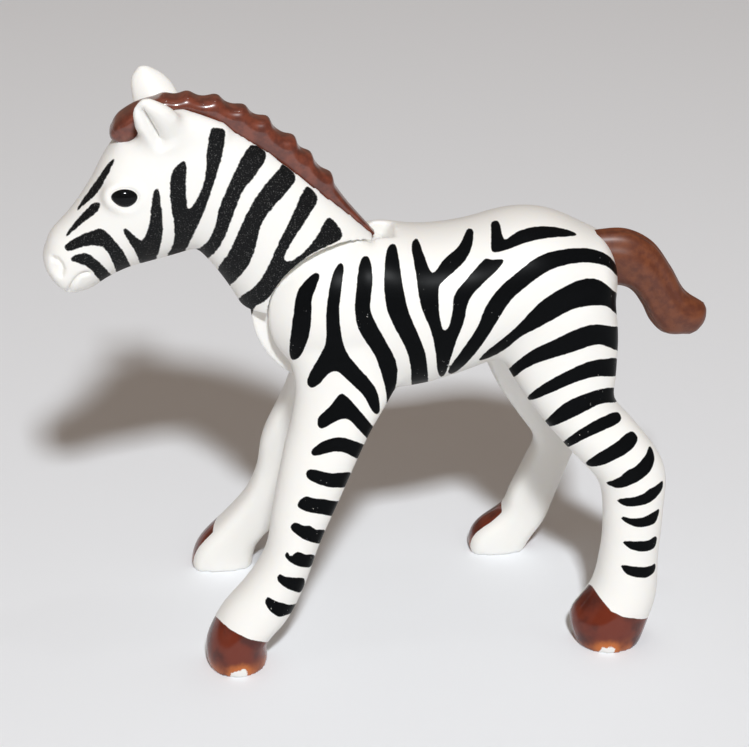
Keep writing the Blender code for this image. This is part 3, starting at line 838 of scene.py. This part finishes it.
# %% Outlines read off the head and neck
HEAD_VIEW = (50, 130, 6)
HEAD_PRINT = [
    [(380, 175), (383, 192), (350, 262), (300, 355), (270, 392), (190, 462), (161, 488), (180, 440),
     (258, 330), (345, 205)],
    [(288, 430), (301, 448), (283, 492), (205, 550), (120, 625), (94, 640), (110, 602), (180, 515),
     (250, 444)],
    [(92, 712), (93, 690), (150, 648), (260, 600), (320, 595), (385, 660), (445, 735), (478, 805),
     (492, 845), (412, 872), (385, 810), (345, 735), (300, 694), (200, 700), (115, 730)],
    [(123, 778), (145, 755), (215, 736), (280, 778), (362, 862), (380, 888), (322, 928), (285, 885),
     (228, 822), (165, 798)],
    [(440, 597), (460, 593), (535, 655), (565, 650), (600, 550), (612, 400), (645, 342), (662, 410),
     (678, 575), (668, 680), (640, 770), (625, 800), (548, 810), (515, 735), (460, 650)],
    [(735, 250), (760, 215), (805, 183), (820, 225), (815, 350), (822, 445), (838, 472), (890, 400),
     (932, 280), (939, 150), (960, 5), (985, -13), (1030, -10), (1053, 20), (1034, 156), (972, 360),
     (905, 540), (840, 670), (800, 740), (700, 762), (735, 700), (748, 600), (722, 420), (720, 310)],
]
NECK_VIEW = (180, 120, 5)
NECK_PRINT = [
    [(370, 125), (398, 132), (436, 180), (385, 265), (315, 355), (278, 440), (245, 540), (195, 640),
     (145, 688), (125, 705), (72, 650), (115, 632), (168, 560), (195, 440), (245, 320), (300, 205),
     (342, 135)],
    [(510, 222), (532, 221), (580, 285), (555, 335), (480, 420), (410, 510), (385, 610), (345, 725),
     (275, 805), (225, 838), (178, 762), (245, 665), (300, 540), (365, 410), (440, 305), (490, 252)],
    [(640, 333), (678, 365), (687, 408), (630, 500), (565, 600), (520, 682), (540, 707), (600, 680),
     (680, 590), (725, 505), (750, 487), (793, 532), (811, 575), (793, 605), (698, 650), (598, 725),
     (513, 810), (438, 900), (378, 930), (358, 975), (341, 990), (280, 905), (375, 835), (440, 735),
     (490, 620), (555, 490), (600, 385), (622, 345)],
]
print(len(HEAD_PRINT) + len(NECK_PRINT), "stripes read off the head and neck")

# %% [markdown]
# The print is laid out flat and pressed on from each side by a pad that leans a little from
# above and from the head, so both sides get the same stripes. Each point of a skin keeps
# how far inside the nearest stripe it is, in millimetres. The right hind leg stands farther
# forward, so its print is slid along with it.

# %% From outlines to curves on the sheet
CURVE_STEPS = 5
ROUNDING_PASSES = 3
FAR_FROM_PRINT, FAR_AWAY = -2.0, 9.0


def pressed(points):
    """Where drawn points lie on the print's flat sheet, as rows of along and up."""
    left_side = np.array(points) * (1, -1, 1)
    left_side[:, 1] = -np.abs(left_side[:, 1])
    return np.stack([left_side @ np.array(right_of_sight), left_side @ np.array(above_sight)], axis=1)


def print_outline(skin, outline, view, reach):
    """A read outline as a smooth closed curve on the print's sheet."""
    left, top, zoom = view
    padded = outline[-1:] + outline + outline[:2]
    points = []
    for i in range(1, len(outline) + 1):
        for step in range(CURVE_STEPS):
            x, y = (catmull(*values, step / CURVE_STEPS) for values in zip(*padded[i - 1 : i + 3]))
            points.append(touch(skin, left + x / zoom, top + y / zoom, reach))
    curve = pressed(points)
    for _ in range(ROUNDING_PASSES):
        curve = (np.roll(curve, 1, axis=0) + 2 * curve + np.roll(curve, -1, axis=0)) / 4
    return curve


print("a curve takes", CURVE_STEPS, "points for each one read")


# %% From curves to a depth at every point
def depth_inside(places, outline):
    """How far each place on the sheet lies inside an outline, negative outside it."""
    ahead = np.roll(outline, -1, axis=0)
    nearest = np.full(len(places), FAR_AWAY)
    inside = np.zeros(len(places), dtype=bool)
    for (ax, az), (bx, bz) in zip(outline, ahead):
        span = np.array([bx - ax, bz - az])
        away = places - (ax, az)
        share = np.clip(away @ span / max(span @ span, 1e-9), 0, 1)
        nearest = np.minimum(nearest, np.hypot(*(away - share[:, None] * span).T))
        crosses = (az > places[:, 1]) != (bz > places[:, 1])
        if bz != az:
            inside ^= crosses & (places[:, 0] < ax + (places[:, 1] - az) * (bx - ax) / (bz - az))
    return np.where(inside, nearest, -nearest)


def print_depth(places, outlines):
    """The greatest depth inside any of the outlines."""
    depth = np.full(len(places), FAR_FROM_PRINT)
    for outline in outlines:
        low, high = outline.min(axis=0) + FAR_FROM_PRINT, outline.max(axis=0) - FAR_FROM_PRINT
        near = np.all((places > low) & (places < high), axis=1)
        depth[near] = np.maximum(depth[near], depth_inside(places[near], outline))
    return depth


def laid_out(skin, outlines, view, reach):
    """All outlines of one view as curves on the sheet."""
    return [print_outline(skin, outline, view, reach) for outline in outlines]


barrel_print = laid_out(body_skin, BARREL, BARREL_VIEW, BODY_REACH)
barrel_print += laid_out(body_skin, HAUNCH, HAUNCH_VIEW, BODY_REACH)
leg_print = laid_out(body_skin, FRONT_LEG_PRINT, FRONT_LEG_VIEW, LEG_REACH)
hind_print = laid_out(body_skin, HIND_LEG_PRINT, HIND_LEG_VIEW, LEG_REACH)
neck_print = laid_out(head_skin, HEAD_PRINT, HEAD_VIEW, HEAD_REACH)
neck_print += laid_out(head_skin, NECK_PRINT, NECK_VIEW, HEAD_REACH)
print("the first stripe is", round(float(np.ptp(barrel_print[0][:, 1])), 1), "mm tall on the sheet")

# %% [markdown]
# ## Small carving on the head
# The eye is a raised black button in a soft rim, the nostril a comma and the mouth one
# curved groove, all very shallow. Each ear is hollowed behind its front fold. Faces near
# the eye, nostril and mouth are split once more, and then the points are pushed in or out
# along the skin's own normals, so that light shows the forms.

# %% Lines and outlines of the face
NOSTRIL = [(15, 772), (40, 782), (62, 808), (72, 840), (66, 872)]
NOSTRIL_HOLLOW = (42, 835)
MOUTH = [(112, 968), (130, 938), (152, 902), (180, 873), (205, 863), (228, 860)]
EYE_PRINT = [(363, 405), (380, 375), (425, 356), (475, 357), (512, 375), (527, 405), (510, 440),
             (470, 464), (425, 462), (385, 438)]
EYE_MIDDLE, MOUTH_MIDDLE = (445, 410), (165, 890)
EAR_RIDGE = [(506, -166), (527, -118), (552, -68), (585, -14), (622, 42), (656, 92), (680, 132)]
EAR_FADES = [0.0, 0.7, 1.0, 1.0, 1.0, 0.8, 0.0]


def head_point(x, y):
    """The drawn point of the head under a place in its enlarged view."""
    left, top, zoom = HEAD_VIEW
    return touch(head_skin, left + x / zoom, top + y / zoom, HEAD_REACH)


def distance_to_line(places, line):
    """The distance from each place to a line through points, both in drawn millimetres."""
    nearest = np.full(len(places), FAR_AWAY)
    for a, b in zip(line, line[1:]):
        span, away = np.array(b - a), places - np.array(a)
        share = np.clip(away @ span / (span @ span), 0, 1)
        nearest = np.minimum(nearest, np.linalg.norm(away - share[:, None] * span, axis=1))
    return nearest


def beside_line(places, line, weights):
    """How far left of a side-view line each place is, and the line's weight nearest to it."""
    nearest = np.full(len(places), FAR_AWAY)
    beside, weight = np.zeros(len(places)), np.zeros(len(places))
    for (ax, az), (bx, bz), from_weight, to_weight in zip(line, line[1:], weights, weights[1:]):
        span, away = np.array([bx - ax, bz - az]), places - (ax, az)
        share = np.clip(away @ span / (span @ span), 0, 1)
        distance = np.hypot(*(away - share[:, None] * span).T)
        left = np.where(span[0] * away[:, 1] - span[1] * away[:, 0] < 0, 1, -1)
        closer = distance < nearest
        nearest = np.where(closer, distance, nearest)
        beside = np.where(closer, distance * left, beside)
        weight = np.where(closer, from_weight + (to_weight - from_weight) * share, weight)
    return beside, weight


def bump(distance, width):
    """One at no distance, falling smoothly to nothing."""
    return np.exp(-((distance / width) ** 2))


eye_place, mouth_place = head_point(*EYE_MIDDLE), head_point(*MOUTH_MIDDLE)
nostril_place = head_point(*NOSTRIL_HOLLOW)
print("the nostril is at", [round(v, 1) for v in nostril_place])


# %% Tools for carving
def split_near(piece, centres, reach):
    """Splits the faces near some drawn points, on both sides, for small carving."""
    mesh = bmesh.new()
    mesh.from_mesh(piece.data)
    nearby = [placed(x, side * y, z) for x, y, z in centres for side in (-1, 1)]
    edges = [
        edge for edge in mesh.edges
        if any(all((vert.co - place).length < reach * MM for vert in edge.verts) for place in nearby)
    ]
    bmesh.ops.subdivide_edges(mesh, edges=edges, cuts=1, use_grid_fill=True)
    mesh.to_mesh(piece.data)
    mesh.free()


def normals_of(piece):
    """The way each point of a piece faces."""
    normals = np.empty(len(piece.data.vertices) * 3)
    piece.data.vertices.foreach_get("normal", normals)
    return normals.reshape(-1, 3)


def sideways(piece, points):
    """How squarely each point faces its own side of the foal, from -1 to 1."""
    return normals_of(piece)[:, 1] * np.sign(points[:, 1])


def soften_near(piece, centres, reach, rounds):
    """Relaxes a piece's points near some drawn points, on both sides, into a soft fillet."""
    points = np.abs(drawn_points(piece.data) * (0, 1, 0)) + drawn_points(piece.data) * (1, 0, 1)
    nearest = np.min([np.linalg.norm(points - np.array(centre), axis=1) for centre in centres], axis=0)
    group = piece.vertex_groups.new(name="soft")
    for index in np.flatnonzero(nearest < reach):
        group.add([int(index)], float(1 - (nearest[index] / reach) ** 2), "REPLACE")
    soften = piece.modifiers.new("soften", "SMOOTH")
    soften.vertex_group = group.name
    soften.factor, soften.iterations = 0.5, rounds
    settle(piece)
    piece.vertex_groups.clear()


print("carving tools are ready")

# %% Soften the ears' roots and carve the face
EAR_ROOT = [
    (-18.6, 4.0, 62.6), (-19.6, 4.4, 61.4), (-20.2, 5.0, 59.6),
    (-22.0, 5.2, 58.6), (-23.8, 4.9, 58.9), (-25.6, 4.0, 60.0),
]
SPLIT_REACH, EYE_REACH = 2.4, 3.5
EYE_RISE, RIM_RISE, RIM_PLACE, RIM_WIDTH = 0.3, 0.1, 0.55, 0.4
CREASE_DEPTH, CREASE_PLACE, CREASE_WIDTH = 0.1, 0.06, 0.14
NOSTRIL_DEPTH, NOSTRIL_WIDTH, HOLLOW_DEPTH, HOLLOW_WIDTH = 0.34, 0.32, 0.3, 0.8
MOUTH_DEPTH, MOUTH_WIDTH = 0.36, 0.26
EAR_INNER, EAR_REACH, EAR_FADE = 1.8, 4, 3
FOLD_DEPTH, FOLD_RUN, FOLD_EDGE = 1.45, 0.9, 0.4

soften_near(head, EAR_ROOT, reach=3.2, rounds=240)
eye_outline = print_outline(head_skin, EYE_PRINT, HEAD_VIEW, HEAD_REACH)
split_near(head, [eye_place, nostril_place, mouth_place], SPLIT_REACH)

head_points = drawn_points(head.data)
near_side = head_points * (1, -1, 1)
near_side[:, 1] = -np.abs(head_points[:, 1])
eye_depth = depth_inside(pressed(near_side), eye_outline)
eye_depth[np.linalg.norm(near_side - np.array(eye_place), axis=1) > EYE_REACH] = FAR_FROM_PRINT
button = np.clip(eye_depth, 0, 1)
rim = bump(eye_depth + RIM_PLACE, RIM_WIDTH) * (eye_depth < 0)
lift = EYE_RISE * (1 - (1 - button) ** 2) + RIM_RISE * rim
lift -= CREASE_DEPTH * bump(eye_depth + CREASE_PLACE, CREASE_WIDTH)
nostril_line, mouth_line = ([head_point(*p) for p in line] for line in (NOSTRIL, MOUTH))
lift -= NOSTRIL_DEPTH * bump(distance_to_line(near_side, nostril_line), NOSTRIL_WIDTH)
lift -= HOLLOW_DEPTH * bump(np.linalg.norm(near_side - np.array(nostril_place), axis=1), HOLLOW_WIDTH)
lift -= MOUTH_DEPTH * bump(distance_to_line(near_side, mouth_line), MOUTH_WIDTH)
ear_line = [(point.x, point.z) for point in (head_point(*p) for p in EAR_RIDGE)]
beside, weight = beside_line(near_side[:, [0, 2]], ear_line, EAR_FADES)
on_ear = (near_side[:, 1] < -EAR_INNER) & (np.abs(beside) < EAR_REACH)
ear_side = on_ear * np.clip(sideways(head, head_points) * EAR_FADE, 0, 1)
fold = np.where(beside < 0, np.exp(np.minimum(beside, 0) / FOLD_RUN), bump(beside, FOLD_EDGE))
lift -= FOLD_DEPTH * (fold * weight * ear_side)
move_points(head, head_points + normals_of(head) * lift[:, None])
print("eye button rises", round(float(lift.max()), 2), "mm; head has", len(head.data.vertices), "points")

# %% [markdown]
# ## Paint and print on the skins
# Every skin keeps its print as numbers on its points: depth inside a stripe, inside the
# hoof paint and inside the eye. The print fades where the skin turns away from the side,
# because a pad cannot press there.

# %% Where a pad can press
FACING_LOW, FAR_FACING_LOW, LEG_FACING_LOW, HOOF_FACING_LOW = 0.1, 0.4, -0.1, -0.2
FACING_FADE = 3
PRINT_LIMIT = 1.5
HOOF_MARGIN, HOOF_FRONT_RISE, HOOF_BACK_RISE, UNDER_HOOF = 5, 2, 0.2, 16


def pad_facing(piece, points):
    """How squarely each point faces the leaning pad of its own side."""
    normals = normals_of(piece)
    pad = -np.array(sight)
    return normals[:, 0] * pad[0] - sideways(piece, points) * pad[1] + normals[:, 2] * pad[2]


def keep_number(piece, name, values):
    """Keeps one number on each point of a piece, for its material to read."""
    layer = piece.data.attributes.new(name, "FLOAT", "POINT")
    layer.data.foreach_set("value", np.clip(values, -PRINT_LIMIT, PRINT_LIMIT).astype(np.float32))


def leg_middle(ribs, heights):
    """Where a leg's middle line is at given heights."""
    middles = sorted(((rib[1] + rib[3]) / 2, (rib[0] + rib[2]) / 2) for rib in ribs)
    return np.interp(heights, *zip(*middles))


def hoof_outline(top_line):
    """The hoof paint: everything below its read upper edge."""
    line = pressed([touch(body_skin, x, y, LEG_REACH) for x, y in top_line])
    left, right = line[0] + (-HOOF_MARGIN, HOOF_FRONT_RISE), line[-1] + (HOOF_MARGIN, HOOF_BACK_RISE)
    under = line[0][1] - UNDER_HOOF
    return np.array([left, *line, right, (right[0], under), (left[0], under)])


print("the pads press along", [round(v, 2) for v in sight])

# %% Write the print onto the body
HIND_FRONT, HIND_TOP, SLIDE_BLEND = 8, 34, 8
THIGH_FRONT, THIGH_TOP, THIGH_BLEND = 6, 41, 4

body_points = drawn_points(body.data)
facing = sideways(body, body_points)
far_hind = (body_points[:, 1] > 0) & (body_points[:, 0] > HIND_FRONT) & (body_points[:, 2] < HIND_TOP)
heights = body_points[far_hind, 2]
slide = leg_middle(LEFT_HIND_LEG, heights) - leg_middle(RIGHT_HIND_LEG, heights)
slid_points = body_points.copy()
slid_points[far_hind, 0] += slide * np.clip((HIND_TOP - heights) / SLIDE_BLEND, 0, 1)
side_places = pressed(slid_points)

barrel_depth = print_depth(side_places, barrel_print)
limb_depth = print_depth(side_places, leg_print + hind_print)
thigh = np.clip((THIGH_TOP - body_points[:, 2]) / THIGH_BLEND, 0, 1)
thigh *= np.clip((body_points[:, 0] - THIGH_FRONT) / THIGH_BLEND, 0, 1)
left_facing = np.maximum(facing - FACING_LOW, pad_facing(body, body_points))
barrel_facing = np.where(body_points[:, 1] > 0, facing - FAR_FACING_LOW, left_facing)
barrel_facing += (facing - LEG_FACING_LOW - barrel_facing) * thigh
stripe_depth = np.maximum(
    np.minimum(barrel_depth, barrel_facing * FACING_FADE),
    np.minimum(limb_depth, (facing - LEG_FACING_LOW) * FACING_FADE),
)
hoof_depth = print_depth(side_places, [hoof_outline(FRONT_HOOF_TOP), hoof_outline(HIND_HOOF_TOP)])
hoof_depth = np.minimum(hoof_depth, (facing - HOOF_FACING_LOW) * FACING_FADE)
keep_number(body, "stripe", stripe_depth)
keep_number(body, "hoof", hoof_depth)
bare_places = pressed([touch(body_skin, x, y, LEG_REACH) for x, y in BARE_SPOTS])
bare_distances = [np.linalg.norm(side_places - place, axis=1) for place in bare_places]
keep_number(body, "bare", BARE_REACH - np.min(bare_distances, axis=0))
print("striped share of the body's points:", round(float((stripe_depth > 0).mean()), 2))

# %% Write the print onto the head
head_points = drawn_points(head.data)
neck_depth = print_depth(pressed(head_points), neck_print)
neck_facing = np.maximum(sideways(head, head_points) - FACING_LOW, pad_facing(head, head_points))
keep_number(head, "stripe", np.minimum(neck_depth, neck_facing * FACING_FADE))
keep_number(head, "eye", eye_depth)
print("striped share of the head's points:", round(float((neck_depth > 0).mean()), 2))

# %% [markdown]
# ## Plastic, print and paint
# The white plastic is soft vinyl: satin, a little translucent. The black print on the body
# takes almost no sheen. On the head and neck it is matt and full of fine pale specks,
# where the pad did not wet the skin. The hoof paint is the glossy part, with an orange
# edge where it thins. All of it is drawn by small node networks that read the numbers
# kept on the points, so the edges stay sharp at any distance.

# %% Helpers for node networks
def new_surface(name):
    """A material with its shader, and a way to add nodes to it."""
    material = bpy.data.materials.new(name)
    material.use_nodes = True
    nodes, links = material.node_tree.nodes, material.node_tree.links
    shader = nodes["Principled BSDF"]

    def add(kind, settings=(), **inputs):
        node = nodes.new("ShaderNode" + kind)
        for key, value in dict(settings).items():
            setattr(node, key, value)
        for key, value in inputs.items():
            socket = node.inputs[int(key[1:])] if key[1:].isdigit() else node.inputs[key.replace("_", " ")]
            if isinstance(value, bpy.types.NodeSocket):
                links.new(value, socket)
            else:
                socket.default_value = value
        return node

    def wire(value, socket_name):
        links.new(value, shader.inputs[socket_name])

    return material, shader, add, wire


def number_on_points(add, name):
    return add("Attribute", {"attribute_name": name}).outputs["Fac"]


def ramp(add, value, low, high):
    """Zero below low, one above high, smooth between."""
    smooth = {"interpolation_type": "SMOOTHSTEP"}
    return add("MapRange", smooth, Value=value, From_Min=low, From_Max=high).outputs[0]


def noise(add, scale, detail=2.0, rough=0.5):
    """Noise in the object's own space; scale counts features per metre."""
    place = add("TexCoord").outputs["Object"]
    return add("TexNoise", Vector=place, Scale=scale, Detail=detail, Roughness=rough).outputs["Fac"]


def sum_of(add, a, b, share=1.0):
    """The first number, plus the second one times a share."""
    return add("Math", {"operation": "MULTIPLY_ADD"}, _0=b, _1=share, _2=a).outputs[0]


def product(add, a, b):
    return add("Math", {"operation": "MULTIPLY"}, _0=a, _1=b).outputs[0]


def difference(add, a, b):
    return add("Math", {"operation": "SUBTRACT"}, _0=a, _1=b).outputs[0]


def blend_colours(add, share, under, over):
    node = add("Mix", {"data_type": "RGBA"}, _0=share, _6=under, _7=over)
    return node.outputs[2]


def blend_numbers(add, share, under, over):
    return add("Mix", {"data_type": "FLOAT"}, _0=share, _2=under, _3=over).outputs[0]


print("node helpers ready")

# %% Printed white plastic of the body
WHITE = (0.85, 0.84, 0.805, 1.0)
BLACK = (0.004, 0.0045, 0.005, 1.0)
HOOF_BROWN, HOOF_DARK = (0.15, 0.024, 0.010, 1.0), (0.07, 0.012, 0.007, 1.0)
HOOF_ORANGE = (0.55, 0.16, 0.03, 1.0)
EDGE_WAVER = 0.16


def translucent(shader):
    """Lets a little light into the white plastic."""
    shader.inputs["Subsurface Weight"].default_value = 0.25
    shader.inputs["Subsurface Radius"].default_value = (1.0, 0.85, 0.65)
    shader.inputs["Subsurface Scale"].default_value = 0.0012
    shader.inputs["IOR"].default_value = 1.48


def printed_body():
    """White plastic with black stripes, and hoof paint that is bare in small spots."""
    material, shader, add, wire = new_surface("printed white plastic of the body")
    translucent(shader)
    waver = difference(add, noise(add, 1400, 3, 0.6), 0.5)
    stripe = sum_of(add, number_on_points(add, "stripe"), waver, EDGE_WAVER)
    inked = ramp(add, stripe, -0.05, 0.05)
    specks = ramp(add, noise(add, 2600, 2, 0.6), 0.68, 0.72)
    patches = ramp(add, noise(add, 160, 2, 0.5), 0.56, 0.68)
    bare = product(add, specks, patches)
    inked = product(add, inked, difference(add, 1.0, bare))
    painted = ramp(add, sum_of(add, number_on_points(add, "hoof"), waver, EDGE_WAVER), -0.04, 0.04)
    streaks = noise(add, 300, 3, 0.5)
    hoof = blend_colours(add, ramp(add, streaks, 0.40, 0.66), HOOF_BROWN, HOOF_DARK)
    height = add("SeparateXYZ", Vector=add("TexCoord").outputs["Object"]).outputs["Z"]
    thin = product(add, ramp(add, streaks, 0.60, 0.38), ramp(add, height, 0.0022, 0.0002))
    hoof = blend_colours(add, product(add, thin, 0.55), hoof, HOOF_ORANGE)
    bare_place = sum_of(add, number_on_points(add, "bare"), waver, 0.7)
    hoof = blend_colours(add, product(add, ramp(add, bare_place, -1.0, -0.15), 0.75), hoof, HOOF_ORANGE)
    hoof = blend_colours(add, ramp(add, bare_place, -0.08, 0.08), hoof, WHITE)
    colour = blend_colours(add, inked, WHITE, BLACK)
    wire(blend_colours(add, painted, colour, hoof), "Base Color")
    rough = blend_numbers(add, inked, 0.36, 0.32)
    wire(blend_numbers(add, painted, rough, 0.16), "Roughness")
    wire(blend_numbers(add, inked, 0.5, 0.03), "Specular IOR Level")
    return material


body_plastic = printed_body()
print("made", body_plastic.name)


# %% Printed white plastic of the head
def printed_head():
    """White plastic with matt speckled stripes and a glossy black eye."""
    material, shader, add, wire = new_surface("printed white plastic of the head")
    translucent(shader)
    waver = difference(add, noise(add, 1900, 3, 0.6), 0.5)
    inked = ramp(add, sum_of(add, number_on_points(add, "stripe"), waver, 2 * EDGE_WAVER), -0.07, 0.07)
    specks = ramp(add, noise(add, 6500, 3, 0.7), 0.58, 0.70)
    bare = product(add, specks, 0.16)
    inked = product(add, inked, difference(add, 1.0, bare))
    eye = ramp(add, number_on_points(add, "eye"), -0.04, 0.04)
    dark = add("Math", {"operation": "MAXIMUM"}, _0=inked, _1=eye).outputs[0]
    wire(blend_colours(add, dark, WHITE, BLACK), "Base Color")
    wire(blend_numbers(add, eye, blend_numbers(add, inked, 0.38, 0.5), 0.1), "Roughness")
    wire(blend_numbers(add, dark, 0.5, 0.15), "Specular IOR Level")
    return material


head_plastic = printed_head()
print("made", head_plastic.name)

# %% [markdown]
# The mane and tail are a harder brown plastic with a faint mottle of lighter and darker
# brown in it. The mane's skin is glossy, so that each knob carries a small hard highlight.
# The tail's is satin and a little yellower.

# %% Brown plastic
MANE_BROWN, MANE_DARK = (0.175, 0.040, 0.020, 1.0), (0.095, 0.021, 0.012, 1.0)
TAIL_BROWN, TAIL_DARK = (0.165, 0.046, 0.017, 1.0), (0.105, 0.026, 0.011, 1.0)


def brown_plastic(name, light, dark, roughness, coat):
    """A mottled brown plastic with its own gloss."""
    material, shader, add, wire = new_surface(name)
    mottle = noise(add, 900, 4, 0.6)
    wire(blend_colours(add, ramp(add, mottle, 0.35, 0.65), dark, light), "Base Color")
    shader.inputs["Roughness"].default_value = roughness
    shader.inputs["Coat Weight"].default_value = coat
    shader.inputs["Coat Roughness"].default_value = 0.07
    wire(add("Bump", Strength=0.08, Distance=0.00008, Height=mottle).outputs["Normal"], "Normal")
    return material


mane_plastic = brown_plastic("glossy brown plastic of the mane", MANE_BROWN, MANE_DARK, 0.3, 0.6)
tail_plastic = brown_plastic("satin brown plastic of the tail", TAIL_BROWN, TAIL_DARK, 0.42, 0.0)
print("made", mane_plastic.name, "and", tail_plastic.name)

# %% [markdown]
# ## Into the frame
# Each piece takes the place of its solid, rides with its body and takes its material, so
# that the neck can still turn between the shoulders.

# %% Put the pieces in their places
for piece, carrier, node, material, slot_name in (
    (body, "body", "body", body_plastic, "white_plastic"),
    (tail, "body", "tail", tail_plastic, "brown_plastic"),
    (head, "neck", "head_and_neck", head_plastic, "white_plastic"),
    (mane, "neck", "mane", mane_plastic, "brown_plastic"),
):
    piece.data.materials.append(material)
    piece.data.shade_smooth()
    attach(piece, carrier)
    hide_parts(node)
print("four pieces ride in the frame")
